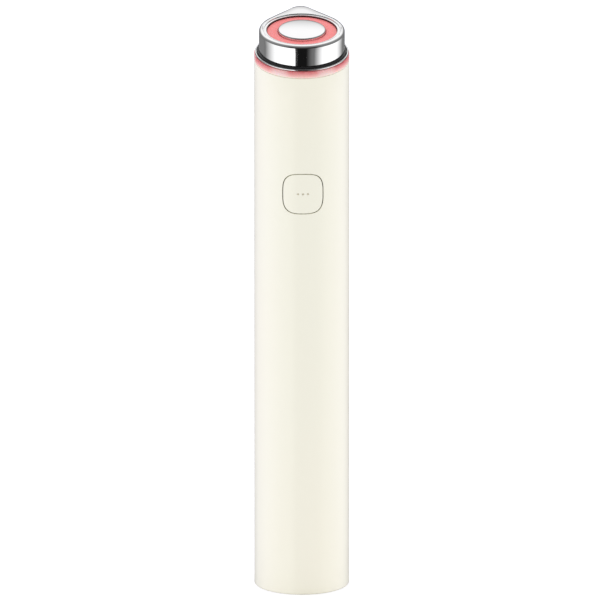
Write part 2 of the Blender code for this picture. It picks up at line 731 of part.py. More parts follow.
def make_main_board():
    corners = ((-BOARD_HALF_WIDTH, BOARD_FACE, BOARD_FOOT), (BOARD_HALF_WIDTH, BOARD_BACK, BOARD_TOP))
    board = block("main_board", *corners)
    for count, (x, z) in enumerate(screw_places(), 1):
        place_at = {"location": (x, BOARD_FACE, z), "rotation": FACING_FRONT}
        through = -BOARD_THICKNESS - CUT_OVERRUN
        cut(board, rod(f"board_hole_tool_{count}", SCREW_SHANK + FIT_GAP, through, CUT_OVERRUN, **place_at))
        place_at["location"] = (x, BOARD_FACE - FIT_GAP, z)
        sizes = (SCREW_HEAD, SCREW_HEAD_HEIGHT, SCREW_SHANK, BOARD_THICKNESS + SCREW_DEPTH, SCREW_SOCKET)
        screw(f"board_screw_{count}", *sizes, **place_at)
    return finish(board, BOARD_GREEN, SATIN)


def front_chip(name, size, height, z):
    """A chip on the button's side of the main board."""
    face = BOARD_FACE - FIT_GAP
    corners = ((-size / TWICE, face - height, z - size / TWICE), (size / TWICE, face, z + size / TWICE))
    return finish(soften(block(name, *corners), CHIP_EDGE), BLACK, SATIN)


def back_socket(name, foot):
    """A wire socket on the back of the main board."""
    near = BOARD_BACK + FIT_GAP
    low = (-SOCKET_WIDTH / TWICE, near, foot)
    high = (SOCKET_WIDTH / TWICE, near + SOCKET_DEPTH, foot + SOCKET_LENGTH)
    return finish(soften(block(name, low, high), CHIP_EDGE), CREAM, MATTE)


def make_electronics():
    front_chip("controller_chip", CHIP_SIZE, CHIP_HEIGHT, BUTTON_HEIGHT - CHIP_DROP)
    front_chip("charger_chip", CHARGER_SIZE, CHIP_HEIGHT, BOARD_FOOT + CHARGER_RISE)
    back_socket("battery_connector", SOCKET_FOOT)
    back_socket("head_connector", HEAD_SOCKET_FOOT)
    flange_top = CORE_LENGTH - CORE_FLANGE
    section = [
        (0, 0),
        (CORE_RADIUS, 0),
        (CORE_RADIUS, CORE_FLANGE),
        (CORE_NECK, CORE_FLANGE),
        (CORE_NECK, flange_top),
        (CORE_RADIUS, flange_top),
        (CORE_RADIUS, CORE_LENGTH),
        (0, CORE_LENGTH),
    ]
    place_at = {"location": (0, BOARD_BACK + FIT_GAP + CORE_RADIUS, CORE_FOOT)}
    finish(turned("transformer_core", section, **place_at), CHARCOAL, MATTE)
    low, high = CORE_FLANGE + FIT_GAP, flange_top - FIT_GAP
    inner, outer = CORE_NECK + FIT_GAP, CORE_RADIUS - WINDING_INSET
    section = [(inner, low), (outer, low), (outer, high), (inner, high)]
    finish(turned("transformer_winding", section, **place_at), COPPER, SATIN, 1.0)
    place_at = {"location": (0, BOARD_BACK + FIT_GAP + CAPACITOR_RADIUS, CAPACITOR_FOOT)}
    capacitor = can("output_capacitor", CAPACITOR_RADIUS, CAPACITOR_LENGTH, CAPACITOR_EDGE, **place_at)
    finish(capacitor, BLACK, GLOSS)


def can(name, radius, length, edge, **where):
    """A round can with chamfered ends that stands on its own z = 0."""
    narrow = radius - edge
    section = [(0, 0), (narrow, 0), (radius, edge), (radius, length - edge), (narrow, length), (0, length)]
    return turned(name, section, **where)


def make_battery():
    length = CELL_TOP - CELL_FOOT
    cell = can("battery_cell", CELL_RADIUS, length, CELL_EDGE, location=(0, CELL_DEPTH, CELL_FOOT))
    finish(cell, CELL_BLUE, SATIN)
    plus_foot = CELL_TOP + FIT_GAP
    minus_top = CELL_FOOT - FIT_GAP
    minus_foot = minus_top - TAB_THICKNESS
    low = (-TAB_HALF_WIDTH, TAB_FRONT, plus_foot)
    plus = block("battery_plus_tab", low, (TAB_HALF_WIDTH, CELL_DEPTH, plus_foot + TAB_THICKNESS))
    low = (-TAB_HALF_WIDTH, TAB_FRONT, minus_foot)
    minus = block("battery_minus_tab", low, (TAB_REACH, TAB_FRONT + TAB_HALF_WIDTH * TWICE, minus_top))
    for tab in (plus, minus):
        finish(tab, TIN, SATIN, 1.0)
    wire_top = SOCKET_FOOT - FIT_GAP
    start = plus_foot + TAB_THICKNESS + FIT_GAP
    heights = (start, (start + wire_top) / TWICE, wire_top)
    points = [(-LEAD_SPREAD, BATTERY_LEAD_DEPTH, height) for height in heights]
    lead("battery_red_lead", points, LEAD_RADIUS, RED)
    halfway = (BATTERY_LEAD_ASIDE + LEAD_SPREAD) / TWICE
    places = (
        (BATTERY_LEAD_ASIDE, minus_foot),
        (BATTERY_LEAD_ASIDE, (minus_top + CELL_TOP) / TWICE),
        (BATTERY_LEAD_ASIDE, CELL_TOP - CELL_HEAD_ROOM * TWICE),
        (BATTERY_LEAD_ASIDE, CELL_TOP - CELL_HEAD_ROOM),
        (halfway, CELL_TOP + CELL_HEAD_ROOM / TWICE),
        (LEAD_SPREAD, CELL_BAY_TOP),
        (LEAD_SPREAD, wire_top),
    )
    points = [(x, BATTERY_LEAD_DEPTH, height) for x, height in places]
    lead("battery_black_lead", points, LEAD_RADIUS, BLACK)


# Button, switch and motor


def make_button():
    flange = FIT_GAP + FLANGE_REACH
    rings = [[Vector((0, -HOUSING_RADIUS, 0))]]
    rings += [squircle_on_cylinder(0, HOUSING_RADIUS, share) for share in BUTTON_RING_SHARES]
    rings.append(squircle_on_cylinder(0, INNER_RADIUS))
    rings.append(squircle_on_cylinder(flange, INNER_RADIUS))
    for share in reversed(BUTTON_RING_SHARES):
        rings.append(squircle_on_cylinder(flange, BUTTON_BACK_RADIUS, share))
    rings.append([Vector((0, -BUTTON_BACK_RADIUS, 0))])
    button = place("button_cap", skin("button_cap", rings), (0, 0, BUTTON_HEIGHT))
    facing = {"rotation": FACING_FRONT}
    nub_place = (0, 0, BUTTON_HEIGHT - SWITCH_DROP)
    nub_root = BUTTON_BACK_RADIUS + FLANGE_THICKNESS / TWICE
    join(button, rod("nub_tool", NUB_RADIUS, -NUB_END, nub_root, location=nub_place, **facing))
    for count in (-1, 0, 1):
        dot_place = (count * DOT_PITCH, 0, BUTTON_HEIGHT)
        reach = (BUTTON_BACK_RADIUS - CUT_OVERRUN, HOUSING_RADIUS + CUT_OVERRUN)
        cut(button, rod(f"dot_tool_{count + 2}", DOT_RADIUS, *reach, DOT_STEPS, location=dot_place, **facing))
    finish(button, CREAM, SATIN)


def make_switch():
    low = (-SWITCH_WIDTH / TWICE, SWITCH_FACE, SWITCH_HEIGHT - SWITCH_TALL / TWICE)
    high = (SWITCH_WIDTH / TWICE, SWITCH_BACK, SWITCH_HEIGHT + SWITCH_TALL / TWICE)
    body = finish(soften(block("switch_body", low, high), CHIP_EDGE), CHARCOAL, SATIN)
    facing = {"location": (0, 0, SWITCH_HEIGHT), "rotation": FACING_FRONT}
    hole = (-SWITCH_BACK - CUT_OVERRUN, -SWITCH_FACE + CUT_OVERRUN)
    cut(body, rod("switch_hole_tool", PLUNGER_RADIUS + FIT_GAP, *hole, **facing))
    plunger = rod("switch_plunger", PLUNGER_RADIUS, -SWITCH_FACE - PLUNGER_DEPTH, -PLUNGER_END, **facing)
    finish(plunger, BLACK, SATIN)
    chord = math.sqrt(BUTTON_BACK_RADIUS**2 - (GUIDE_WIDTH / TWICE) ** 2)
    face = -chord + FIT_GAP
    low = (-GUIDE_WIDTH / TWICE, face, -GUIDE_TALL / TWICE)
    high = (GUIDE_WIDTH / TWICE, face + GUIDE_DEPTH, GUIDE_TALL / TWICE)
    guide = block("button_light_guide", low, high, location=(0, 0, BUTTON_HEIGHT))
    finish(soften(guide, CHIP_EDGE), CLEAR_WHITE, GLOSS)
    for count in (-1, 0, 1):
        centre = count * DOT_PITCH
        face = BOARD_FACE - FIT_GAP
        low = (centre - MODE_LED_WIDTH / TWICE, face - MODE_LED_HEIGHT, BUTTON_HEIGHT - MODE_LED_TALL / TWICE)
        high = (centre + MODE_LED_WIDTH / TWICE, face, BUTTON_HEIGHT + MODE_LED_TALL / TWICE)
        finish(block(f"mode_led_{count + 2}", low, high), LED_YELLOW, SATIN)


def make_motor():
    axis = (0, MOTOR_DEPTH, 0)
    bore, shaft_top = SHAFT_RADIUS + FIT_GAP, MOTOR_FOOT + SHAFT_DEPTH
    narrow = MOTOR_RADIUS - MOTOR_EDGE
    section = [
        (0, MOTOR_TOP),
        (narrow, MOTOR_TOP),
        (MOTOR_RADIUS, MOTOR_TOP - MOTOR_EDGE),
        (MOTOR_RADIUS, MOTOR_FOOT + MOTOR_EDGE),
        (narrow, MOTOR_FOOT),
        (bore, MOTOR_FOOT),
        (bore, shaft_top + FIT_GAP),
        (0, shaft_top + FIT_GAP),
    ]
    finish(turned("motor_can", section, location=axis), STEEL, SATIN, 1.0)
    shaft = rod("motor_shaft", SHAFT_RADIUS, WEIGHT_FOOT - FIT_GAP, shaft_top, location=axis)
    finish(shaft, STEEL, GLOSS, 1.0)
    half = SMALL_STEPS // 2
    heavy = [(WEIGHT_RADIUS, math.pi * step / half) for step in range(half + 1)]
    light = [(WEIGHT_HUB, math.pi + math.pi * step / half) for step in range(half + 1)]
    rings = []
    for height in (WEIGHT_FOOT, WEIGHT_TOP):
        rings.append([Vector((r * math.cos(a), r * math.sin(a), height)) for r, a in heavy + light])
    weight = place("motor_weight", skin("motor_weight", rings), axis)
    hole = rod("weight_hole_tool", bore, WEIGHT_FOOT - CUT_OVERRUN, WEIGHT_TOP + CUT_OVERRUN, location=axis)
    finish(cut(weight, hole), CHARCOAL, SATIN, 1.0)
    bend = MOTOR_TOP + MOTOR_HEAD_ROOM / TWICE
    aside = MOTOR_RADIUS / TWICE
    points = [
        (aside, MOTOR_DEPTH, MOTOR_TOP + FIT_GAP),
        (aside, MOTOR_DEPTH - MOTOR_RADIUS / TWICE, bend),
        (WIRE_NOTCH_HALF, 0, bend),
        (SCREW_OFFSET, BOARD_BACK + FIT_GAP, bend),
    ]
    lead("motor_lead", points, HEAD_LEAD_RADIUS, RED)


# Head


def make_head_carrier(head):
    ear_top = FRAME_TOP + EAR_HEIGHT - EAR_HOOK_DROP
    groove = INNER_RADIUS - SEAL_TUBE * TWICE
    bead = SKIRT_RADIUS + SKIRT_BEAD
    rings = [
        ring(SPIGOT_BORE, SPIGOT_FOOT, BODY_STEPS),
        ring(INNER_RADIUS, SPIGOT_FOOT, BODY_STEPS),
        ring(INNER_RADIUS, SEAL_FOOT, BODY_STEPS),
        ring(groove, SEAL_FOOT, BODY_STEPS),
        ring(groove, SEAL_TOP, BODY_STEPS),
        ring(INNER_RADIUS, SEAL_TOP, BODY_STEPS),
        slanted_ring(INNER_RADIUS, FLOOR_TOP),
        tilted_ring(SKIRT_RADIUS, FLOOR_TOP),
        tilted_ring(SKIRT_RADIUS, BEAD_FOOT),
        tilted_ring(bead, (BEAD_FOOT + BEAD_TOP) / TWICE),
        tilted_ring(SKIRT_RADIUS, BEAD_TOP),
        tilted_ring(SKIRT_RADIUS, SKIRT_TOP),
        tilted_ring(SKIRT_BORE, SKIRT_TOP),
        tilted_ring(SKIRT_BORE, FLOOR_TOP),
        tilted_ring(TOWER_RADIUS, FLOOR_TOP),
        tilted_ring(TOWER_RADIUS, OPENING_FOOT),
        tilted_ring(TOWER_BORE, OPENING_FOOT),
        tilted_ring(TOWER_BORE, FLOOR_FOOT),
        slanted_ring(SPIGOT_BORE, FLOOR_FOOT),
    ]
    carrier = place("head_carrier", skin("head_carrier", rings, joins_ends=True))
    in_head = {"parent": head}
    for count, angle in enumerate(POST_ANGLES, 1):
        spot = {"location": circle_point(POST_CIRCLE, angle), **in_head}
        root = FLOOR_TOP - FLOOR_THICKNESS / TWICE
        join(carrier, rod(f"post_tool_{count}", POST_RADIUS, root, POST_TOP, **spot))
        hole_foot = LIGHT_BOARD_TOP - HEAD_SCREW_DEPTH
        hole = (HEAD_SCREW_SHANK + FIT_GAP, hole_foot, POST_TOP + CUT_OVERRUN)
        cut(carrier, rod(f"post_hole_tool_{count}", *hole, **spot))
    slot_low = FLOOR_TOP + WINDOW_SLOT_FOOT
    slot_high = LIGHT_BOARD_HEIGHT - FIT_GAP
    for count, angle in enumerate(LED_ANGLES, 1):
        low = (SKIRT_BORE - CUT_OVERRUN, -LIGHT_SLOT_HALF, slot_low)
        high = (SKIRT_RADIUS + CUT_OVERRUN, LIGHT_SLOT_HALF, slot_high)
        cut(carrier, block(f"light_slot_tool_{count}", low, high, rotation=(0, 0, angle), **in_head))
    lead_half = HEAD_LEAD_RADIUS + FIT_GAP
    low = (SKIRT_BORE - CUT_OVERRUN, -lead_half, OUTER_LEAD_HEIGHT - lead_half)
    high = (SKIRT_RADIUS + CUT_OVERRUN, lead_half, OUTER_LEAD_HEIGHT + lead_half)
    cut(carrier, block("lead_slot_tool", low, high, rotation=(0, 0, HEAD_LEAD_ANGLE), **in_head))
    for count, angle in enumerate((HEAD_LEAD_ANGLE, LIGHT_LEAD_ANGLE), 1):
        reach = (FLOOR_FOOT - CUT_OVERRUN, FLOOR_TOP + CUT_OVERRUN)
        spot = {"location": circle_point(LIGHT_LEAD_CIRCLE, angle), **in_head}
        cut(carrier, rod(f"floor_hole_tool_{count}", lead_half * TWICE, *reach, **spot))
    half = EAR_HALF_WIDTH + FIT_GAP
    for side in (1, -1):
        near, far = sorted((side * (SPIGOT_BORE - CUT_OVERRUN), side * (INNER_RADIUS + CUT_OVERRUN)))
        foot, top = ear_top - EAR_HOOK_LENGTH - FIT_GAP, ear_top + FIT_GAP
        cut(carrier, block(f"latch_window_tool_{side + 2}", (near, -half, foot), (far, half, top)))
    finish(carrier, CHARCOAL, MATTE)


def circle_point(radius, angle, height=0):
    return (radius * math.cos(angle), radius * math.sin(angle), height)


def make_seal():
    centre_radius = BORE_RADIUS - SEAL_GAP - SEAL_TUBE
    centre_height = (SEAL_FOOT + SEAL_TOP) / TWICE
    section = []
    for step in range(SEAL_STEPS):
        angle = math.tau * step / SEAL_STEPS
        across, up = SEAL_TUBE * math.cos(angle), SEAL_TUBE * math.sin(angle)
        section.append((centre_radius + across, centre_height + up))
    finish(turned("head_seal", section, BODY_STEPS), BLACK, MATTE)


def make_mood_ring():
    rings = [
        slanted_ring(HOUSING_RADIUS, SEAM_GAP),
        slanted_ring(HOUSING_RADIUS, MOOD_RING_TOP),
        tilted_ring(ELECTRODE_BORE, MOOD_RING_TOP),
        tilted_ring(ELECTRODE_BORE, SEAM_GAP),
    ]
    finish(place("mood_light_ring", skin("mood_light_ring", rings, joins_ends=True)), PINK, GLOSS)


def make_outer_electrode(head):
    def even(size):
        return lambda angle: size

    def wall(overhang_share, inset):
        return lambda angle: teardrop_reach(angle, overhang_share) - inset

    def top(drop):
        """The top face falls gently towards the tip."""
        return lambda angle: ELECTRODE_HEIGHT - drop - tip_fall(angle)

    groove = ELECTRODE_BORE + SKIRT_BEAD
    groove_foot, groove_top = BEAD_FOOT - FIT_GAP, BEAD_TOP + FIT_GAP
    flange_radius = HOUSING_RADIUS - FLANGE_INSET
    mouth = OPENING_RADIUS + OPENING_CHAMFER
    rings = [
        head_ring(even(ELECTRODE_BORE), even(FLANGE_FOOT)),
        head_ring(even(flange_radius), even(FLANGE_FOOT)),
        head_ring(even(flange_radius), even(FLANGE_TOP)),
        head_ring(even(ELECTRODE_RADIUS), even(FLANGE_TOP)),
    ]
    for inset_share, drop_share in reversed(EDGE_SHARES):
        inset, drop = TIP_EDGE * (1 - drop_share) * (1 - inset_share), TIP_EDGE * drop_share
        rings.append(head_ring(wall(1, inset), top(drop)))
    rings += [
        head_ring(even(mouth), even(ELECTRODE_HEIGHT)),
        head_ring(even(OPENING_RADIUS), even(ELECTRODE_HEIGHT - OPENING_CHAMFER)),
        head_ring(even(OPENING_RADIUS), even(OPENING_FOOT)),
        head_ring(even(ELECTRODE_BORE), even(OPENING_FOOT)),
        head_ring(even(ELECTRODE_BORE), even(groove_top)),
        head_ring(even(groove), even(groove_top)),
        head_ring(even(groove), even(groove_foot)),
        head_ring(even(ELECTRODE_BORE), even(groove_foot)),
    ]
    cap = place("outer_electrode", skin("outer_electrode", rings, joins_ends=True), parent=head)
    finish(cap, STEEL, POLISHED, 1.0)


def tip_fall(angle):
    """How far the top face falls at its edge, most at the tip and nothing round the front."""
    beyond = teardrop_reach(angle, 1) - ELECTRODE_RADIUS
    return TIP_FALL * beyond / TIP_OVERHANG


def make_windows(head):
    inner = DISC_RADIUS + FIT_GAP
    outer = OPENING_RADIUS - FIT_GAP
    rim = ELECTRODE_BORE - FIT_GAP
    section = [
        (inner, WINDOW_FOOT),
        (rim, WINDOW_FOOT),
        (rim, WINDOW_RIM_TOP),
        (outer, WINDOW_RIM_TOP),
        (outer, WINDOW_TOP),
        (inner, WINDOW_TOP),
    ]
    finish(turned("led_window", section, BODY_STEPS, parent=head), PINK_LIT, GLOSS)
    section = [(0, DISC_EDGE_TOP + DISC_CROWN)]
    for share in DISC_SHARES:
        section.append((DISC_RADIUS * share, DISC_EDGE_TOP + DISC_CROWN * (1 - share**2)))
    section += [(DISC_RADIUS, DISC_FOOT), (STEM_RADIUS, DISC_FOOT)]
    section += [(STEM_RADIUS, DISC_FOOT - STEM_LENGTH), (0, DISC_FOOT - STEM_LENGTH)]
    finish(turned("centre_electrode", section, parent=head), STEEL, POLISHED, 1.0)


def make_light_board(head):
    inner = TOWER_RADIUS + FIT_GAP
    outer = SKIRT_BORE - FIT_GAP
    section = [(r, h) for h in (LIGHT_BOARD_HEIGHT, LIGHT_BOARD_TOP) for r in (inner, outer)]
    section[2:] = reversed(section[2:])
    board = turned("led_board", section, LIGHT_BOARD_STEPS, parent=head)
    for count, angle in enumerate(POST_ANGLES, 1):
        spot = {"location": circle_point(POST_CIRCLE, angle), "parent": head}
        reach = (LIGHT_BOARD_HEIGHT - CUT_OVERRUN, LIGHT_BOARD_TOP + CUT_OVERRUN)
        cut(board, rod(f"light_board_hole_tool_{count}", HEAD_SCREW_SHANK + FIT_GAP, *reach, **spot))
        spot["location"] = circle_point(POST_CIRCLE, angle, LIGHT_BOARD_TOP + FIT_GAP)
        head_sizes = (HEAD_SCREW_HEAD, HEAD_SCREW_HEAD_HEIGHT)
        shank_sizes = (HEAD_SCREW_SHANK, HEAD_SCREW_DEPTH, HEAD_SCREW_SOCKET)
        screw(f"led_board_screw_{count}", *head_sizes, *shank_sizes, **spot)
    finish(board, BOARD_WHITE, SATIN)
    for count, angle in enumerate(LED_ANGLES, 1):
        for name, foot, colour in (
            ("treatment_led", LIGHT_BOARD_TOP + FIT_GAP, PINK_LIT),
            ("mood_led", LIGHT_BOARD_HEIGHT - FIT_GAP - LED_HEIGHT, PINK),
        ):
            low = (LED_CIRCLE - LED_DEPTH / TWICE, -LED_WIDTH / TWICE, foot)
            high = (LED_CIRCLE + LED_DEPTH / TWICE, LED_WIDTH / TWICE, foot + LED_HEIGHT)
            led = block(f"{name}_{count}", low, high, rotation=(0, 0, angle), parent=head)
            finish(led, colour, GLOSS)


def make_head_leads():
    """Three wires from the main board's upper socket, through the notch in the frame, into the head."""
    foot = HEAD_SOCKET_TOP + FIT_GAP
    upper = FRAME_TOP + FIT_GAP

    def rise(x):
        return [(x, HEAD_LEAD_DEPTH, height) for height in (foot, UPPER_BLOCK_FOOT, upper)]

    def head_point(radius, angle, height):
        return HEAD_PLACE @ Vector(circle_point(radius, angle, height))

    below = FLOOR_FOOT - FLOOR_THICKNESS * TWICE
    contact = ELECTRODE_BORE - FIT_GAP
    outer = rise(-HEAD_LEAD_PITCH) + [
        head_point(LIGHT_LEAD_CIRCLE, HEAD_LEAD_ANGLE, below),
        head_point(LIGHT_LEAD_CIRCLE, HEAD_LEAD_ANGLE, FLOOR_TOP),
        head_point((LIGHT_LEAD_CIRCLE + contact) / TWICE, HEAD_LEAD_ANGLE, OUTER_LEAD_HEIGHT),
        head_point(contact, HEAD_LEAD_ANGLE, OUTER_LEAD_HEIGHT),
    ]
    lead("outer_electrode_lead", outer, HEAD_LEAD_RADIUS, RED)
    stem_foot = DISC_FOOT - STEM_LENGTH - FIT_GAP
    centre = rise(0) + [head_point(0, 0, below), head_point(0, 0, FLOOR_FOOT), head_point(0, 0, stem_foot)]
    lead("centre_electrode_lead", centre, HEAD_LEAD_RADIUS, BOARD_WHITE)
    light = rise(HEAD_LEAD_PITCH) + [
        head_point(LIGHT_LEAD_CIRCLE, LIGHT_LEAD_ANGLE, below),
        head_point(LIGHT_LEAD_CIRCLE, LIGHT_LEAD_ANGLE, FLOOR_TOP),
        head_point(LIGHT_LEAD_CIRCLE, LIGHT_LEAD_ANGLE, LIGHT_BOARD_HEIGHT - FIT_GAP),
    ]
    lead("led_lead", light, HEAD_LEAD_RADIUS, BLACK)


def main():
    clear_scene()
    head = place("head_place", None, (0, 0, HOUSING_HEIGHT), (HEAD_TILT, 0, 0))
    make_housing()
    make_base_cap()
    make_charging_port()
    make_inner_frame()
    make_main_board()
    make_electronics()
    make_battery()
    make_button()
    make_switch()
    make_motor()
    make_head_carrier(head)
    make_seal()
    make_mood_ring()
    make_outer_electrode(head)
    make_windows(head)
    make_light_board(head)
    make_head_leads()


main()
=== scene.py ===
"""The looks of the facial care pen: its outer pieces, every finish, the camera, the floor and the light.

Lengths are in metres. The pen stands on z = 0 round the Z axis, and its button faces -Y.
"""

import json
import math

import bmesh
import bpy
from mathutils import Matrix, Vector


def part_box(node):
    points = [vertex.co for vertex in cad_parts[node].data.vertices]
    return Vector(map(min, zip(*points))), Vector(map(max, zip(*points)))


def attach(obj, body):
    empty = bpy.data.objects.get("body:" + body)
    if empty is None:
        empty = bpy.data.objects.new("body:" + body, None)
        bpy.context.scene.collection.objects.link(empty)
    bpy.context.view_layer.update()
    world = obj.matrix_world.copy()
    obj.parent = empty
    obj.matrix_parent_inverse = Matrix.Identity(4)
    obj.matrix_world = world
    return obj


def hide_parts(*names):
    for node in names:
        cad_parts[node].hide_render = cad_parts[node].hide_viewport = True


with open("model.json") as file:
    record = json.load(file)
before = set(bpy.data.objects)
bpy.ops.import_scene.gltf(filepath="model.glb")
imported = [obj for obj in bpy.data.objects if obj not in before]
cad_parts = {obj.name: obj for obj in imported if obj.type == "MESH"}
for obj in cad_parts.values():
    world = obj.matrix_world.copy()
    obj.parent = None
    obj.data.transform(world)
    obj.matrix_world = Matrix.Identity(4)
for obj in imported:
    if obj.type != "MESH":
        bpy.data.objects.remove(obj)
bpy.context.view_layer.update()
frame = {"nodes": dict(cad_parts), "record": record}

# Clearances and small roundings
FIT_GAP = 0.0003
SEAM_GAP = 0.0001
CUT_OVERRUN = 0.001
TWICE = 2

# A quarter turn, and directions in a section, in degrees
QUARTER = 90
DOWN = -90
OUT = 0
UP = 90
IN = 180

# How finely round shapes are divided
ROUND_STEPS = 192
PATCH_STEPS = 24
WALL_STEPS = 120
FILLET_STEPS = 6
EDGE_STEPS = 12
OUTLINE_STEPS = 128
DOT_STEPS = 32
TIP_STEPS = 14
FLANK_STEPS = 14
HEAD_WALL_STEPS = 70
CORNER_STEPS = 10
SHARP_ANGLE = math.radians(50)

# Tube, read from the frame where the frame has it
HEAD_TILT = math.radians(10)
HOUSING_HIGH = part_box("main_housing")[1]
HOUSING_RADIUS = HOUSING_HIGH[0]
HOUSING_HEIGHT = HOUSING_HIGH[2] - HOUSING_RADIUS * math.tan(HEAD_TILT)
HOUSING_WALL = 0.0015
BORE_RADIUS = HOUSING_RADIUS - HOUSING_WALL
INNER_RADIUS = BORE_RADIUS - FIT_GAP
FOOT_ROUNDING = 0.0003
RIM_ROUNDING = 0.0001
WINDOW_ROUNDING = 0.00012
PATCH_HALF_ANGLE = math.radians(34)
PATCH_HALF_HEIGHT = 0.0070
PATCH_SHARES = (0.3, 0.55, 0.75, 0.9, 1.0)
LOWER_ROWS = 10
UPPER_ROWS = 4

# Base cap and charging port
CAP_RECESS = 0.0003
CAP_FLOOR = 0.0015
CAP_RIM_WALL = 0.0012
CAP_ROUNDING = 0.0002
PORT_WIDTH = 0.00894
PORT_DEPTH = 0.00326
PORT_CORNER = 0.0013
PORT_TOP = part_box("usb_port_shell")[1][2]

# Button
BUTTON_LOW, BUTTON_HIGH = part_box("button_cap")
BUTTON_HEIGHT = (BUTTON_LOW[2] + BUTTON_HIGH[2]) / TWICE
BUTTON_WIDTH = 0.00993
BUTTON_TALL = 0.01008
BUTTON_GAP = 0.0002
BUTTON_SQUARENESS = 3.3
BUTTON_ROUNDING = 0.00012
BUTTON_SHARES = (0.1, 0.2, 0.3, 0.4, 0.5, 0.6, 0.7, 0.8, 0.9)
FLANGE_REACH = 0.0007
FLANGE_THICKNESS = 0.0006
BUTTON_BACK = INNER_RADIUS - FLANGE_THICKNESS
DOT_RADIUS = 0.00025
DOT_PITCH = 0.00124
DOT_RECESS = 0.00008
DOT_DEPTH = 0.0006

# Head, with heights square to the slanted cut
RING_HEIGHT = 0.0016
RING_ROUNDING = 0.00008
RING_TOP_ROUNDING = 0.0002
ELECTRODE_INSET = 0.0012
ELECTRODE_WALL = 0.0010
ELECTRODE_RADIUS = HOUSING_RADIUS - ELECTRODE_INSET
ELECTRODE_BORE = ELECTRODE_RADIUS - ELECTRODE_WALL
ELECTRODE_HEIGHT = 0.0083
ELECTRODE_TOP_WALL = 0.0010
LIP_INSET = 0.0002
LIP_RADIUS = HOUSING_RADIUS - LIP_INSET
LIP_HEIGHT = 0.00036
LIP_WIDTH = 0.0004
LIP_FOOT_ROUNDING = 0.0001
LIP_ROUNDING = 0.00016
# The black trim ring in the groove is partly painted shade of the groove
TRIM_RISE = 0.0004
TRIM_DEPTH = 0.00025
TRIM_ROUNDING = 0.00025
WALL_LIFT = 0.0004
WALL_RINGS = 4
TIP_OVERHANG = 0.0039
TIP_ROUNDING = 0.0028
FRONT_EDGE = 0.0009
FRONT_EDGE_DROP = 0.00068
TIP_EDGE = 0.00025
TIP_EDGE_DROP = 0.00025
EDGE_CHANGE = (math.radians(50), math.radians(95))
EDGE_LINE_WIDTH = 0.00032
EDGE_LINE_DEPTH = 0.00024
EDGE_LINE_LEAST = 0.00002
EDGE_LINE_CHANGE = (math.radians(115), math.radians(80))
EDGE_LINE_SHARES = ((0.5, 1), (1, 0))
SHOULDER_SLOPE = math.radians(5)
SHOULDER_WIDTH = 0.0026
SHOULDER_RINGS = 8
SHOULDER_POWER = 2
OPENING_RADIUS = 0.0089
BEVEL_WIDTH = 0.00012
BEVEL_DROP = 0.00012
STEP_RADIUS = 0.0095
STEP_WIDTH = 0.00004
STEP_DROP = 0.00016
SEAM_LINE_WIDTH = 0.0001
SEAM_LINE_DEPTH = 0.00008
SEAM_LINE_INSET = 0.00012
SEAM_LINE_SHARES = ((0.5, 0), (0, 1), (-0.5, 0))
WINDOW_RECESS = 0.00062
WINDOW_ROUND_EDGE = 0.00015
WINDOW_FLANGE = 0.0007
# The thin black ring on the opening's wall is painted shade: its width, its gaps and how far below the bevel
# it stops
WINDOW_SHADE_WIDTH = 0.00005
WINDOW_SHADE_GAP = 0.00001
WINDOW_SHADE_DROP = 0.00004
DISC_GAP = 0.00008
DISC_RADIUS = 0.0060
DISC_RIM = 0.0004
DISC_CROWN = 0.00024
DISC_RAISE = 0.00033
DISC_ROUNDING = 0.00036
DISC_ROUNDING_END = 84
DISC_STEPS = 14
STEM_RADIUS = 0.0020
STEM_LENGTH = 0.0062
RING_TOP = SEAM_GAP + RING_HEIGHT
LIP_FOOT = RING_TOP + FIT_GAP
LIP_TOP = LIP_FOOT + LIP_HEIGHT
GROOVE_FOOT = LIP_TOP - TRIM_DEPTH
WALL_FOOT = LIP_TOP + WALL_LIFT
LEDGE_HEIGHT = ELECTRODE_HEIGHT - STEP_DROP
OPENING_FOOT = ELECTRODE_HEIGHT - ELECTRODE_TOP_WALL
WINDOW_RADIUS = OPENING_RADIUS - WINDOW_SHADE_WIDTH - WINDOW_SHADE_GAP * TWICE
WINDOW_RIM_TOP = OPENING_FOOT - FIT_GAP
HEAD_PLACE = Matrix.Translation((0, 0, HOUSING_HEIGHT)) @ Matrix.Rotation(HEAD_TILT, 4, "X")

# Colours of the outer finishes, as the 0 to 255 values that they show on a screen
CREAM_COOL = (246, 244, 227)
CREAM_WARM = (248, 244, 226)
RING_DEEP = (208, 110, 113)
RING_MIDDLE = (243, 192, 183)
# RING_PINK and RING_PALE are painted light, the ring's colours at its six pale patches
RING_PINK = (226, 172, 169)
RING_PALE = (238, 214, 209)
RING_FOOT = (238, 220, 208)
WINDOW_DEEP = (230, 122, 121)
WINDOW_LIGHT = (236, 131, 129)
# The light dots' tan holds the painted shade of their small holes
DOT_SHADED_COLOUR = (214, 206, 178)
SCREEN_TOP = 255
SCREEN_CURVE = (0.04045, 12.92, 0.055, 2.4)
CHROME = (0.93, 0.93, 0.935)

# Noise: how much of its range it fills, its detail, and how it is drawn out along the height
NOISE_RANGE = (0.3, 0.7)
SOFT_DETAIL = 2.0
FINE_DETAIL = 3.0
EVEN_STRETCH = (1, 1, 1)
LONG_STRETCH = (1, 1, 0.4)
WIPED_STRETCH = (1, 1, 0.3)

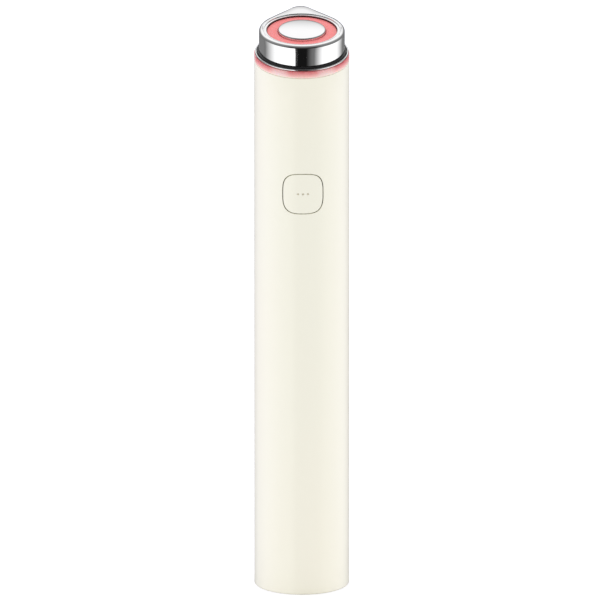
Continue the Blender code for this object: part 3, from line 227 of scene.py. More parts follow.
# Surfaces. A roughness is its lowest value, its highest and the size of its blobs. A grain is the size and
# the depth of its bumps. An edge is where a pattern starts and where it is full
ROUGHNESS_SHARES = (0.8, 1.2)
PLAIN_CHANGE_SHARE = 0.06
PLAIN_BLOB = 0.002
PLAIN_GRIT = 0.0002
PLAIN_GRIT_DEPTH = 0.000004
DOT_GLOSS = 0.45
DOT_BLOB = 0.0002
CREAM_IOR = 1.52
CREAM_GLOSS = 0.24
CREAM_PATCH = 0.03
CREAM_ROUGHNESS = (0.22, 0.27, 0.004)
CREAM_GRAIN = (0.00025, 0.0000012)
CHROME_GLOSS = 0.05
CHROME_CHANGE_SHARE = 0.012
CHROME_PATCH = 0.004
CHROME_ROUGHNESS = (0.035, 0.075, 0.0012)
CHROME_GRAIN = (0.0006, 0.0000004)
SCATTER_LENGTH = 0.0006
# The pink ring's patches of painted light: how many there are, and where they start and are full
LIGHT_COUNT = 6.0
LIGHT_EDGE = (-0.1, 1.0)
RING_GLOSS = 0.28
RING_SCATTER = 0.15
RING_GLOW = 0.1
RING_FOOT_HEIGHT = 0.00045
RING_FOOT_EDGE = (SEAM_GAP + RING_FOOT_HEIGHT, SEAM_GAP)
RING_CLOUD = 0.0012
RING_CLOUD_SHARE = 0.12
RING_ROUGHNESS = (0.24, 0.34, 0.0008)
RING_GRAIN = (0.00015, 0.000002)
WINDOW_GLOSS = 0.35
WINDOW_SCATTER = 0.1
WINDOW_GLOW = 0.15
WINDOW_SPARKLE = 0.0005
WINDOW_ROUGHNESS = (0.3, 0.42, 0.0006)
WINDOW_GRAIN = (0.00018, 0.000003)
BOARD_GLOSS = 0.35
BOARD_ROUGHNESS = (0.3, 0.42, 0.001)
TRACES_PER_METRE = 600.0
TRACE_EDGE = (0.42, 0.5)
TRACE_DEPTH = 0.00002
TRACE_STRENGTH = 0.6
BAND_BLOB = 0.001
BAND_EDGE = (-0.9, 0.3)
BAND_STRENGTH = 0.7

# Looks of the slots that share a finish, with colours as linear light
PLAIN_LOOKS = {
    "steel": {"colour": (0.60, 0.60, 0.61), "roughness": 0.28, "metallic": 1.0, "blob": 0.0008},
    "tinned_metal": {"colour": (0.62, 0.62, 0.63), "roughness": 0.32, "metallic": 1.0, "blob": 0.0006},
    "black_plastic": {"colour": (0.012, 0.012, 0.013), "roughness": 0.3, "change_share": 0.15},
    "grey_frame": {"colour": (0.55, 0.56, 0.56), "roughness": 0.5, "grit": 0.0004, "depth": 0.00001},
    "white_diffuser": {"colour": (0.88, 0.88, 0.86), "roughness": 0.4, "change_share": 0.03},
    "led_body": {"colour": (0.80, 0.66, 0.16), "roughness": 0.25, "change_share": 0.1, "blob": 0.0004},
    "socket_plastic": {"colour": (0.80, 0.76, 0.64), "roughness": 0.5},
    "ferrite": {
        "colour": (0.05, 0.05, 0.055), "roughness": 0.6,
        "change_share": 0.2, "grit": 0.0003, "depth": 0.00001,
    },
    "seal_rubber": {"colour": (0.02, 0.02, 0.02), "roughness": 0.75, "grit": 0.0003, "depth": 0.000008},
    "black_insulation": {"colour": (0.015, 0.015, 0.017), "roughness": 0.45, "change_share": 0.15},
    "red_insulation": {"colour": (0.50, 0.02, 0.02), "roughness": 0.42, "change_share": 0.1},
    "white_insulation": {"colour": (0.78, 0.78, 0.76), "roughness": 0.45},
}
BOARD_LOOKS = {
    "circuit_board": {"mask": (0.01, 0.11, 0.05), "trace": (0.03, 0.22, 0.10)},
    "white_board": {"mask": (0.78, 0.79, 0.78), "trace": (0.86, 0.86, 0.85)},
}
BANDED_LOOKS = {
    "cell_sleeve": {
        "colour": (0.05, 0.16, 0.40), "print_and_shade_colour": (0.04, 0.12, 0.32),
        "pitch": 0.004, "metallic": 0.0, "roughness": 0.3,
    },
    # The copper's darker colour between its turns is painted shade
    "copper_wire": {
        "colour": (0.72, 0.30, 0.12), "print_and_shade_colour": (0.25, 0.08, 0.03),
        "pitch": 0.0003, "metallic": 1.0, "roughness": 0.3,
    },
}

# Camera: the photograph is a long-lens view from a little above
CAMERA_TURN = math.radians(-1.5)
CAMERA_RISE = math.radians(15)
CAMERA_DISTANCE = 4.75
CAMERA_TARGET = (-0.00044, 0, 0.07397)
VIEW_WIDTH = 0.1515
SENSOR_WIDTH = 36
CLIP_RATIO = 10

# Floor, world and lamps
WHITE = (1, 1, 1, 1)
FLOOR_HALF = 6.0
FLOOR_COLOUR = (0.88, 0.88, 0.88, 1)
FLOOR_LIFT = 0.20
WORLD_LEVEL = 1.0
LAMP_SIZE = 0.9
LAMP_TINT = (0.62, 0.62, 1.0)
LAMPS = (
    ("left_lamp", (-1.2, 0.55, 0.5), 6.4),
    ("right_lamp", (1.0, 0.75, 0.5), 5.6),
)

# Reflection tent. A card is its level, then its left, right, foot and top edges, each from dark to light, in
# degrees of turn and rise. A sky card is its level, and how far from the sky's middle it starts and is full
TENT_RADIUS = 20.0
TENT_STEPS = 32
TENT_DARK = 0.008
TENT_CARDS = (
    (1.25, (-140, -66), (-19, -22), (-95, -93), (-9, -14)),
    (1.25, (24, 70), (156, 98), (-95, -93), (-9, -14)),
    (0.045, (-190, -185), (-13, -15), (-95, -93), (-9, -15)),
    (0.17, (8, 34), (190, 185), (-95, -93), (-9, -15)),
    (0.21, (-190, -185), (-100, -130), (-95, -93), (-9, -15)),
    (0.20, (100, 130), (190, 185), (-95, -93), (-9, -15)),
    (0.27, (-190, -185), (-155, -175), (-95, -93), (-9, -15)),
    (0.20, (-190, -185), (-20, -55), (-14, -9), (200, 190)),
    (0.20, (25, 60), (190, 185), (-14, -9), (200, 190)),
    (0.04, (-190, -185), (190, 185), (-12, -6), (200, 190)),
)
SKY_RISE = math.radians(45)
SKY_MIDDLE = (0, math.cos(SKY_RISE), math.sin(SKY_RISE))
SKY_CARDS = (
    (1.05, (45, 10)),
    (0.30, (110, 30)),
)
SKY_FOOT = (10, 38)


# Points and rings


def divide(start, end, steps):
    """Even steps from a start to an end, with both."""
    return [start + (end - start) * step / steps for step in range(steps + 1)]


def ramp(value, start, end):
    """0 up to the start and 1 from the end on, for a start below or above the end."""
    return min(max((value - start) / (end - start), 0), 1)


def wall_point(radius, angle, height, slant=0.0):
    """A point on an upright cylinder. At a slant of 1 its height follows the tube's sloping top."""
    x, y = radius * math.sin(angle), -radius * math.cos(angle)
    return Vector((x, y, height + slant * y * math.tan(HEAD_TILT)))


def ring(radius, height):
    """A level ring; a ring of no radius is one point."""
    if radius == 0:
        return [Vector((0, 0, height))]
    return [wall_point(radius, math.tau * step / ROUND_STEPS, height) for step in range(ROUND_STEPS)]


def slanted_ring(radius, rise):
    """The ring in which an upright cylinder meets the plane that lies a rise above the slanted cut."""
    level = HOUSING_HEIGHT + rise / math.cos(HEAD_TILT)
    return [wall_point(radius, math.tau * step / ROUND_STEPS, level, 1) for step in range(ROUND_STEPS)]


def tilted_ring(radius, rise):
    """A ring round the head's own axis."""
    return [HEAD_PLACE @ point for point in ring(radius, rise)]


def fillet(centre, radius, start, end):
    """Points of an arc in a section, from one direction to another."""
    points = []
    for direction in divide(start, end, FILLET_STEPS):
        angle = math.radians(direction)
        points.append((centre[0] + radius * math.cos(angle), centre[1] + radius * math.sin(angle)))
    return points


def on_outline(across, up, margin):
    """The point of the button's outline, a margin wider all round, that lies in a direction."""
    half_width, half_tall = BUTTON_WIDTH / TWICE + margin, BUTTON_TALL / TWICE + margin
    square = BUTTON_SQUARENESS
    size = (abs(across / half_width) ** square + abs(up / half_tall) ** square) ** (1 / square)
    return across / size, up / size


def outline_ring(margin, radius, share=1.0):
    """The button's outline, drawn in by the share, on the front of an upright cylinder."""
    points = []
    for step in range(OUTLINE_STEPS):
        angle = math.tau * step / OUTLINE_STEPS
        x, z = on_outline(math.cos(angle), math.sin(angle), margin)
        points.append(front_point(x * share, z * share, radius))
    return points


def front_point(x, z, radius):
    """A point on the front of an upright cylinder, at a height from the button's middle."""
    return Vector((x, -math.sqrt(radius**2 - x**2), BUTTON_HEIGHT + z))


def rounded_rectangle(width, depth, corner, height):
    """A level rectangle with round corners, centred on the axis."""
    points = []
    for corner_count, (across, along) in enumerate(((1, 1), (-1, 1), (-1, -1), (1, -1))):
        centre = Vector((across * (width / TWICE - corner), along * (depth / TWICE - corner), height))
        for step in range(CORNER_STEPS + 1):
            angle = math.radians(QUARTER) * (corner_count + step / CORNER_STEPS)
            points.append(centre + corner * Vector((math.cos(angle), math.sin(angle), 0)))
    return points


# The metal cap's plan: a circle with a rounded tip at the back


def tip_numbers():
    """Distance of the tip's centre from the axis, and where the flat flank leaves the circle and the tip."""
    tip_centre = ELECTRODE_RADIUS + TIP_OVERHANG - TIP_ROUNDING
    turn = math.acos((ELECTRODE_RADIUS - TIP_ROUNDING) / tip_centre)
    tip_side = math.atan2(TIP_ROUNDING * math.sin(turn), tip_centre + TIP_ROUNDING * math.cos(turn))
    return tip_centre, turn, tip_side


def teardrop_angles():
    """Angles from the tip's direction, close together where the tip is narrow."""
    tip_centre, turn, tip_side = tip_numbers()
    half = []
    for bend in divide(0, turn, TIP_STEPS)[:-1]:
        half.append(math.atan2(TIP_ROUNDING * math.sin(bend), tip_centre + TIP_ROUNDING * math.cos(bend)))
    half += divide(tip_side, turn, FLANK_STEPS)[:-1] + divide(turn, math.pi, HEAD_WALL_STEPS)
    return half + [-angle for angle in reversed(half[1:-1])]


def teardrop_reach(angle):
    """How far the teardrop reaches in a direction."""
    tip_centre, turn, tip_side = tip_numbers()
    aside = abs(angle)
    if aside >= turn:
        return ELECTRODE_RADIUS
    if aside >= tip_side:
        return ELECTRODE_RADIUS / math.cos(turn - aside)
    return tip_centre * math.cos(aside) + math.sqrt(TIP_ROUNDING**2 - (tip_centre * math.sin(aside)) ** 2)


def head_point(angle, reach, height):
    """A point of the metal cap, with its angle from the tip's direction."""
    return HEAD_PLACE @ Vector((-reach * math.sin(angle), reach * math.cos(angle), height))


def head_ring(reach, height):
    """A round ring of the metal cap, with a corner at each of the teardrop's angles."""
    return [head_point(angle, reach, height) for angle in TEARDROP_ANGLES]


TEARDROP_ANGLES = teardrop_angles()


# Meshes and objects


def place(name, form):
    """Turns a finished bmesh into an object with smooth faces and sharp edges."""
    bmesh.ops.recalc_face_normals(form, faces=form.faces)
    mesh = bpy.data.meshes.new(name)
    form.to_mesh(mesh)
    form.free()
    mesh.shade_smooth()
    mesh.set_sharp_from_angle(angle=SHARP_ANGLE)
    piece = bpy.data.objects.new(name, mesh)
    bpy.context.scene.collection.objects.link(piece)
    return piece


def bridge(form, row, after):
    """Faces between two rings of corners; a ring may be one point."""
    count = max(len(row), len(after))
    for spot in range(count):
        beside = (spot + 1) % count
        near = [row[spot], row[beside]] if len(row) > 1 else [row[0]]
        far = [after[beside], after[spot]] if len(after) > 1 else [after[0]]
        form.faces.new(near + far)


def skin(name, rings, joins_ends=False):
    """A closed piece through the rings, in order."""
    form = bmesh.new()
    rows = [[form.verts.new(point) for point in points] for points in rings]
    for row, after in zip(rows, rows[1:]):
        bridge(form, row, after)
    if joins_ends:
        bridge(form, rows[-1], rows[0])
    else:
        for end in (rows[0], rows[-1]):
            if len(end) > 1:
                form.faces.new(end)
    return place(name, form)


def turned(name, section, place_of=ring):
    """A piece turned round an axis. A section that starts off the axis closes on itself."""
    return skin(name, [place_of(radius, height) for radius, height in section], section[0][0] != 0)


def cut(piece, tool):
    """Cuts the tool's shape out of the piece for good, and drops the tool."""
    step = piece.modifiers.new("cut", "BOOLEAN")
    step.operation = "DIFFERENCE"
    step.object = tool
    bpy.context.view_layer.update()
    shape = piece.evaluated_get(bpy.context.evaluated_depsgraph_get())
    mesh = bpy.data.meshes.new_from_object(shape)
    piece.modifiers.clear()
    piece.data = mesh
    bpy.data.objects.remove(tool)


# Outer pieces


def housing_rows():
    """The tube's rows, each a radius, a height and a slant, and where its outer and inner patches start."""
    patch_foot, patch_top = BUTTON_HEIGHT - PATCH_HALF_HEIGHT, BUTTON_HEIGHT + PATCH_HALF_HEIGHT
    patch_rows = divide(patch_foot, patch_top, PATCH_STEPS)
    below = divide(FOOT_ROUNDING, patch_foot, LOWER_ROWS)[1:-1]
    foot = fillet((HOUSING_RADIUS - FOOT_ROUNDING, FOOT_ROUNDING), FOOT_ROUNDING, DOWN, OUT)
    rim_centre = (HOUSING_RADIUS - RIM_ROUNDING, HOUSING_HEIGHT - RIM_ROUNDING)
    rows = [(BORE_RADIUS, 0, 0)] + [(radius, height, 0) for radius, height in foot]
    outer_patch = len(rows) + len(below)
    rows += [(HOUSING_RADIUS, height, 0) for height in below + patch_rows]
    for step in range(1, UPPER_ROWS):
        share = step / UPPER_ROWS
        rows.append((HOUSING_RADIUS, patch_top + (HOUSING_HEIGHT - patch_top) * share, share))
    rows += [(radius, height, 1) for radius, height in fillet(rim_centre, RIM_ROUNDING, OUT, UP)]
    rows.append((BORE_RADIUS, HOUSING_HEIGHT, 1))
    inner_patch = len(rows)
    rows += [(BORE_RADIUS, height, 0) for height in reversed(patch_rows)]
    return rows, outer_patch, inner_patch


def make_housing():
    """The tube: one wall of rows round it, with a rounded window for the button woven into the rows."""
    rows, *patch_starts = housing_rows()
    rest = math.tau - PATCH_HALF_ANGLE * TWICE
    columns = [PATCH_HALF_ANGLE * (TWICE * step / PATCH_STEPS - 1) for step in range(PATCH_STEPS)]
    columns += [PATCH_HALF_ANGLE + rest * step / WALL_STEPS for step in range(WALL_STEPS)]
    form = bmesh.new()
    grid = []
    for radius, height, slant in rows:
        grid.append([form.verts.new(wall_point(radius, angle, height, slant)) for angle in columns])
    for count, row in enumerate(grid):
        after = grid[(count + 1) % len(grid)]
        in_patch = any(start <= count < start + PATCH_STEPS for start in patch_starts)
        for spot in range(PATCH_STEPS if in_patch else 0, len(columns)):
            beside = (spot + 1) % len(columns)
            form.faces.new((row[spot], row[beside], after[beside], after[spot]))
    outer_rows, inner_rows = [grid[start:start + PATCH_STEPS + 1] for start in patch_starts]
    loops = window_loops(form, patch_edge(outer_rows), patch_edge(inner_rows[::-1]))
    for row, after in zip(loops, loops[1:]):
        bridge(form, row, after)
    dress(place("tube_shell", form), "cream_shell", "root", "main_housing")


def patch_edge(rows):
    """The corners round the woven patch of the wall, in one turn, from its rows in upward order."""
    edge = [rows[0][spot] for spot in range(PATCH_STEPS)]
    edge += [row[PATCH_STEPS] for row in rows[:-1]]
    edge += [rows[-1][spot] for spot in range(PATCH_STEPS, 0, -1)]
    return edge + [row[0] for row in reversed(rows[1:])]


def window_loops(form, outer_edge, inner_edge):
    """Loops from the patch's outer edge to the button's window, through the wall, and to the inner edge."""
    loops = [outer_edge]
    full_margin = BUTTON_GAP + WINDOW_ROUNDING
    loops += [window_loop(form, outer_edge, HOUSING_RADIUS, share, full_margin) for share in PATCH_SHARES]
    for step in range(1, FILLET_STEPS + 1):
        turn = math.radians(QUARTER * step / FILLET_STEPS)
        margin = BUTTON_GAP + WINDOW_ROUNDING * (1 - math.sin(turn))
        radius = HOUSING_RADIUS - WINDOW_ROUNDING * (1 - math.cos(turn))
        loops.append(window_loop(form, outer_edge, radius, 1, margin))
    for share in reversed(PATCH_SHARES):
        loops.append(window_loop(form, inner_edge, BORE_RADIUS, share, BUTTON_GAP))
    return loops + [inner_edge]


def window_loop(form, edge, radius, share, margin):
    """Corners between the patch's edge, at a share of 0, and the window's outline, at a share of 1."""
    loop = []
    for corner in edge:
        x, z = corner.co.x, corner.co.z - BUTTON_HEIGHT
        target_x, target_z = on_outline(x, z, margin)
        point = front_point(x + (target_x - x) * share, z + (target_z - z) * share, radius)
        loop.append(form.verts.new(point))
    return loop


def make_base_cap():
    """The cap under the tube, with the opening of the charging port."""
    rim_bore = INNER_RADIUS - CAP_RIM_WALL
    section = [(0, CAP_RECESS)]
    section += fillet((INNER_RADIUS - CAP_ROUNDING, CAP_RECESS + CAP_ROUNDING), CAP_ROUNDING, DOWN, OUT)
    section += [(INNER_RADIUS, PORT_TOP), (rim_bore, PORT_TOP)]
    section += [(rim_bore, CAP_RECESS + CAP_FLOOR), (0, CAP_RECESS + CAP_FLOOR)]
    cap = turned("base_plate", section)
    opening = [size + FIT_GAP * TWICE for size in (PORT_WIDTH, PORT_DEPTH, PORT_CORNER)]
    heights = (CAP_RECESS - CUT_OVERRUN, CAP_RECESS + CAP_FLOOR + CUT_OVERRUN)
    cut(cap, skin("port_opening_tool", [rounded_rectangle(*opening, height) for height in heights]))
    dress(cap, "cream_shell", "root", "base_cap")


def make_button():
    """The square button, with three light dots let into it."""
    rings = [[front_point(0, 0, HOUSING_RADIUS)]]
    edge_share = 1 - BUTTON_ROUNDING * TWICE / BUTTON_WIDTH
    rings += [outline_ring(0, HOUSING_RADIUS, share * edge_share) for share in BUTTON_SHARES]
    for step in range(FILLET_STEPS + 1):
        turn = math.radians(QUARTER * step / FILLET_STEPS)
        margin = -BUTTON_ROUNDING * (1 - math.sin(turn))
        rings.append(outline_ring(margin, HOUSING_RADIUS - BUTTON_ROUNDING * (1 - math.cos(turn))))
    flange = FIT_GAP + FLANGE_REACH
    rings += [outline_ring(0, INNER_RADIUS), outline_ring(flange, INNER_RADIUS)]
    rings.append(outline_ring(flange, BUTTON_BACK))
    rings += [outline_ring(flange, BUTTON_BACK, share) for share in reversed(BUTTON_SHARES)]
    rings.append([front_point(0, 0, BUTTON_BACK)])
    button = skin("thumb_button", rings)
    dot_places = [count * DOT_PITCH for count in (-1, 0, 1)]
    for x in dot_places:
        cut(button, front_rod("dot_tool", DOT_RADIUS, x, BUTTON_BACK, HOUSING_RADIUS + CUT_OVERRUN))
    dress(button, "cream_button", "button", "button_cap")
    front = HOUSING_RADIUS - DOT_RECESS
    for count, x in enumerate(dot_places, 1):
        dot = front_rod(f"light_dot_{count}", DOT_RADIUS - SEAM_GAP / TWICE, x, front - DOT_DEPTH, front)
        dress(dot, "white_diffuser", "button", finish_name="light_dot")


def front_rod(name, radius, x, near, far):
    """A small round bar that points at the front, at the button's height."""
    rings = []
    for depth in (near, far):
        points = []
        for step in range(DOT_STEPS):
            angle = math.tau * step / DOT_STEPS
            z = BUTTON_HEIGHT + radius * math.sin(angle)
            points.append(Vector((x + radius * math.cos(angle), -depth, z)))
        rings.append(points)
    return skin(name, rings)


def make_light_ring():
    """The lit ring between the tube and the metal head. Its outside is flush with the tube."""
    foot_centre = (HOUSING_RADIUS - RING_ROUNDING, SEAM_GAP + RING_ROUNDING)
    top_centre = (HOUSING_RADIUS - RING_TOP_ROUNDING, RING_TOP - RING_TOP_ROUNDING)
    outside = fillet(foot_centre, RING_ROUNDING, DOWN, OUT) + fillet(top_centre, RING_TOP_ROUNDING, OUT, UP)
    rings = [tilted_ring(ELECTRODE_BORE, SEAM_GAP)]
    rings += [slanted_ring(radius, rise) for radius, rise in outside]
    rings.append(tilted_ring(ELECTRODE_BORE, RING_TOP))
    dress(skin("glow_ring", rings, joins_ends=True), "pink_ring", "root", "mood_light_ring")


def edge_shares():
    """How far in and how far down the cap's rounded edge lies at each of its steps."""
    across, down = 1 - math.sin(SHOULDER_SLOPE), math.cos(SHOULDER_SLOPE)
    turns = divide(math.radians(QUARTER), SHOULDER_SLOPE, EDGE_STEPS)
    return [((1 - math.sin(turn)) / across, 1 - math.cos(turn) / down) for turn in turns]


def rounded_edge(start):
    """Rings from the cap's wall over its rounded edge and up the faint shoulder to its flat top."""
    rings = []
    for inset_share, drop_share in edge_shares():
        points = []
        for angle in TEARDROP_ANGLES:
            width, depth = edge_size(angle)
            fall = shoulder_size(angle, start)[1]
            height = ELECTRODE_HEIGHT - fall - depth * drop_share
            points.append(head_point(angle, teardrop_reach(angle) - width * inset_share, height))
        rings.append(points)
    rings += [shoulder_ring(start, *line_shares) for line_shares in EDGE_LINE_SHARES]
    for step in range(1, SHOULDER_RINGS + 1):
        rings.append(shoulder_ring(start, 1, 0, step / SHOULDER_RINGS))
    return rings


def shoulder_ring(start, line_share, depth_share, share=0.0):
    """A ring in the fine line beside the rounded edge, or further up the shoulder by the share."""
    points = []
    for angle in TEARDROP_ANGLES:
        run, fall = shoulder_size(angle, start)
        width, depth = edge_line_size(angle)
        inset = width * line_share + (run - width) * share
        height = ELECTRODE_HEIGHT - fall * (1 - inset / run) ** SHOULDER_POWER - depth * depth_share
        points.append(head_point(angle, teardrop_reach(angle) - edge_size(angle)[0] - inset, height))
    return points


def edge_line_size(angle):
    """How wide and deep the fine line along the edge is. It fades out towards the front."""
    share = ramp(abs(angle), *EDGE_LINE_CHANGE)
    return EDGE_LINE_LEAST + (EDGE_LINE_WIDTH - EDGE_LINE_LEAST) * share, EDGE_LINE_DEPTH * share


def shoulder_size(angle, start):
    """How far the top slopes towards its rounded edge, and how deep it falls there."""
    run = min(teardrop_reach(angle) - edge_size(angle)[0] - start, SHOULDER_WIDTH)
    return run, math.tan(SHOULDER_SLOPE) * run / SHOULDER_POWER


def edge_size(angle):
    """How wide and how deep the cap's rounded edge is: slim round the tip, fuller in front."""
    share = ramp(abs(angle), *EDGE_CHANGE)
    depth = TIP_EDGE_DROP + (FRONT_EDGE_DROP - TIP_EDGE_DROP) * share
    return TIP_EDGE + (FRONT_EDGE - TIP_EDGE) * share, depth


def wall_ring(share):
    """A ring of the cap's wall, which is round at its foot and flares out to the tip with the share."""
    lowest_edge = ELECTRODE_HEIGHT - FRONT_EDGE_DROP - TIP_EDGE_DROP
    height = WALL_FOOT + (lowest_edge - WALL_FOOT) * share
    points = []
    for angle in TEARDROP_ANGLES:
        reach = ELECTRODE_RADIUS + (teardrop_reach(angle) - ELECTRODE_RADIUS) * share
        points.append(head_point(angle, reach, height))
    return points


def make_metal_cap():
    """The polished cap: a lip, a groove for the black trim ring that also paints the groove's shade, a wall
    that flares to the tip, and an opening.
    """
    lip_bore = LIP_RADIUS - LIP_WIDTH
    foot_centre = (LIP_RADIUS - LIP_FOOT_ROUNDING, LIP_FOOT + LIP_FOOT_ROUNDING)
    rounded_top = LIP_TOP - LIP_ROUNDING
    section = [(ELECTRODE_BORE, LIP_FOOT)]
    section += fillet(foot_centre, LIP_FOOT_ROUNDING, DOWN, OUT)
    section += fillet((LIP_RADIUS - LIP_ROUNDING, rounded_top), LIP_ROUNDING, OUT, UP)
    section += fillet((lip_bore + LIP_ROUNDING, rounded_top), LIP_ROUNDING, UP, IN)
    section += [(lip_bore, GROOVE_FOOT), (ELECTRODE_RADIUS, GROOVE_FOOT)]
    rings = [head_ring(radius, height) for radius, height in section]
    rings += [wall_ring(step / WALL_RINGS) for step in range(WALL_RINGS)]
    seam_radius = STEP_RADIUS + SEAM_LINE_INSET
    rings += rounded_edge(seam_radius + SEAM_LINE_WIDTH)
    opening = []
    for width_share, depth_share in SEAM_LINE_SHARES:
        depth = SEAM_LINE_DEPTH * depth_share
        opening.append((seam_radius + SEAM_LINE_WIDTH * width_share, ELECTRODE_HEIGHT - depth))
    opening += [(STEP_RADIUS, ELECTRODE_HEIGHT), (STEP_RADIUS - STEP_WIDTH, LEDGE_HEIGHT)]
    for inset_share, drop_share in fillet((1, 1), 1, DOWN, DOWN - QUARTER):
        opening.append((OPENING_RADIUS + BEVEL_WIDTH * inset_share, LEDGE_HEIGHT - BEVEL_DROP * drop_share))
    opening += [(OPENING_RADIUS, OPENING_FOOT), (ELECTRODE_BORE, OPENING_FOOT)]
    rings += [head_ring(radius, height) for radius, height in opening]
    dress(skin("metal_cap", rings, joins_ends=True), "chrome", "root", "outer_electrode")


def make_groove_trim_and_shade():
    """A black trim ring in the groove behind the cap's lip. Partly a real black part, partly painted shade
    of the groove.
    """
    side_gap = SEAM_GAP / TWICE
    inner, outer = ELECTRODE_RADIUS + side_gap, LIP_RADIUS - LIP_WIDTH - side_gap
    foot, top = GROOVE_FOOT + side_gap, LIP_TOP + TRIM_RISE
    section = [(inner, foot), (outer, foot)]
    section += fillet((outer - TRIM_ROUNDING, top - TRIM_ROUNDING), TRIM_ROUNDING, OUT, UP)
    section.append((inner, top))
    dress(turned("dark_trim", section, tilted_ring), "black_plastic", "root")


def make_light_window():
    """The lit ring in the cap's opening, held by a flange behind the opening's edge."""
    inner, rim = DISC_RADIUS + DISC_GAP, ELECTRODE_BORE - FIT_GAP
    flange_foot = WINDOW_RIM_TOP - WINDOW_FLANGE
    edge = WINDOW_ROUND_EDGE
    edge_height = ELECTRODE_HEIGHT - WINDOW_RECESS - edge
    section = [(inner, flange_foot), (rim, flange_foot)]
    section += [(rim, WINDOW_RIM_TOP), (WINDOW_RADIUS, WINDOW_RIM_TOP)]
    section += fillet((WINDOW_RADIUS - edge, edge_height), edge, OUT, UP)
    section += fillet((inner + edge, edge_height), edge, UP, IN)
    dress(turned("glow_window", section, tilted_ring), "pink_window", "root", "led_window")


def make_window_shade():
    """A thin black ring on the opening's wall that paints its shade, as the dark line between the window and
    the metal cap.
    """
    near, far = WINDOW_RADIUS + WINDOW_SHADE_GAP, OPENING_RADIUS - WINDOW_SHADE_GAP
    low, high = WINDOW_RIM_TOP + WINDOW_SHADE_GAP, LEDGE_HEIGHT - BEVEL_DROP - WINDOW_SHADE_DROP
    section = [(near, low), (far, low), (far, high), (near, high)]
    dress(turned("window_gasket", section, tilted_ring), "black_plastic", "root")


def make_centre_disc():
    """The domed disc in the middle, on its stem."""
    foot = OPENING_FOOT + FIT_GAP
    edge_top = foot + DISC_RIM + DISC_RAISE
    rounding_centre = (DISC_RADIUS - DISC_ROUNDING, edge_top - DISC_ROUNDING)
    section = [(0, edge_top + DISC_CROWN)]
    for step in range(1, DISC_STEPS):
        share = step / DISC_STEPS * (1 - DISC_ROUNDING / DISC_RADIUS)
        section.append((DISC_RADIUS * share, edge_top + DISC_CROWN * (1 - share**2)))
    section += reversed(fillet(rounding_centre, DISC_ROUNDING, OUT, DISC_ROUNDING_END))
    section += [(DISC_RADIUS, foot), (STEM_RADIUS, foot)]
    section += [(STEM_RADIUS, foot - STEM_LENGTH), (0, foot - STEM_LENGTH)]
    dress(turned("domed_disc", section, tilted_ring), "chrome", "root", "centre_electrode")


# Steps that the finishes share


def shade(colour):
    """A colour as linear light, from the 0 to 255 values it shows on a screen."""
    edge, slope, lift, power = SCREEN_CURVE
    parts = [value / SCREEN_TOP for value in colour]
    return [part / slope if part <= edge else ((part + lift) / (1 + lift)) ** power for part in parts]


def add(tree, kind, inputs=None, **settings):
    """A node with its settings. Its inputs are values, or outputs of other nodes."""
    step = tree.nodes.new(kind)
    for name, value in settings.items():
        setattr(step, name, value)
    for socket, value in (inputs or {}).items():
        if isinstance(value, bpy.types.NodeSocket):
            tree.links.new(value, step.inputs[socket])
        else:
            step.inputs[socket].default_value = value
    return step


def maths(tree, operation, *values):
    """The result of a sum on values, or on outputs of other nodes."""
    return add(tree, "ShaderNodeMath", dict(enumerate(values)), operation=operation).outputs[0]


def smooth(tree, value, start, end):
    """0 up to the start and 1 from the end on, with a soft step between. The start may lie above the end."""
    inputs = {"Value": value, "From Min": start, "From Max": end, "To Min": 0.0, "To Max": 1.0}
    return add(tree, "ShaderNodeMapRange", inputs, interpolation_type="SMOOTHSTEP").outputs["Result"]


def spread(tree, value, low, high):
    """Noise laid out between two values."""
    least, most = NOISE_RANGE
    inputs = {"Value": value, "From Min": least, "From Max": most, "To Min": low, "To Max": high}
    return add(tree, "ShaderNodeMapRange", inputs).outputs["Result"]


def blend_colours(tree, share, first, second):
    """The first colour at a share of 0 and the second at a share of 1."""
    inputs = {"Factor": share}
    for name, colour in (("A", first), ("B", second)):
        inputs[name] = colour if isinstance(colour, bpy.types.NodeSocket) else (*colour, 1)
    step = tree.nodes.new("ShaderNodeMix")
    step.data_type = "RGBA"
    for socket in step.inputs:
        if socket.type in ("RGBA", "VALUE") and socket.enabled and socket.name in inputs:
            value = inputs[socket.name]
            if isinstance(value, bpy.types.NodeSocket):
                tree.links.new(value, socket)
            else:
                socket.default_value = value
    return next(socket for socket in step.outputs if socket.enabled)


def point_in(tree):
    """The place of the shaded point, in metres."""
    return add(tree, "ShaderNodeTexCoord").outputs["Object"]


def point_axes(tree):
    """The X, Y and Z of the shaded point, in metres."""
    return add(tree, "ShaderNodeSeparateXYZ", {0: point_in(tree)}).outputs


def head_height(tree):
    """Height over the slanted cut, for any point."""
    axes = point_axes(tree)
    along_y = maths(tree, "MULTIPLY", axes["Y"], -math.sin(HEAD_TILT))
    along_z = maths(tree, "SUBTRACT", axes["Z"], HOUSING_HEIGHT)
    return maths(tree, "ADD", along_y, maths(tree, "MULTIPLY", along_z, math.cos(HEAD_TILT)))


def noise(tree, size, stretch=EVEN_STRETCH, detail=SOFT_DETAIL):
    """Soft noise whose blobs are about the size across, and longer where the stretch is under 1."""
    mapping = add(tree, "ShaderNodeMapping", {"Vector": point_in(tree), "Scale": stretch})
    inputs = {"Vector": mapping.outputs["Vector"], "Scale": 1 / size, "Detail": detail}
    return add(tree, "ShaderNodeTexNoise", inputs).outputs["Fac"]


def new_finish(name, roughness, metallic=0.0, **sockets):
    """A material with its shader's even values set on the shader itself."""
    material = bpy.data.materials.new(name)
    material.use_nodes = True
    shader = material.node_tree.nodes["Principled BSDF"]
    shader.inputs["Roughness"].default_value = roughness
    shader.inputs["Metallic"].default_value = metallic
    for socket, value in sockets.items():
        shader.inputs[socket.replace("_", " ")].default_value = value
    return material, material.node_tree, shader


def roughen(tree, shader, low, high, size, stretch=EVEN_STRETCH):
    """Uneven gloss, in blobs of a size."""
    tree.links.new(spread(tree, noise(tree, size, stretch), low, high), shader.inputs["Roughness"])


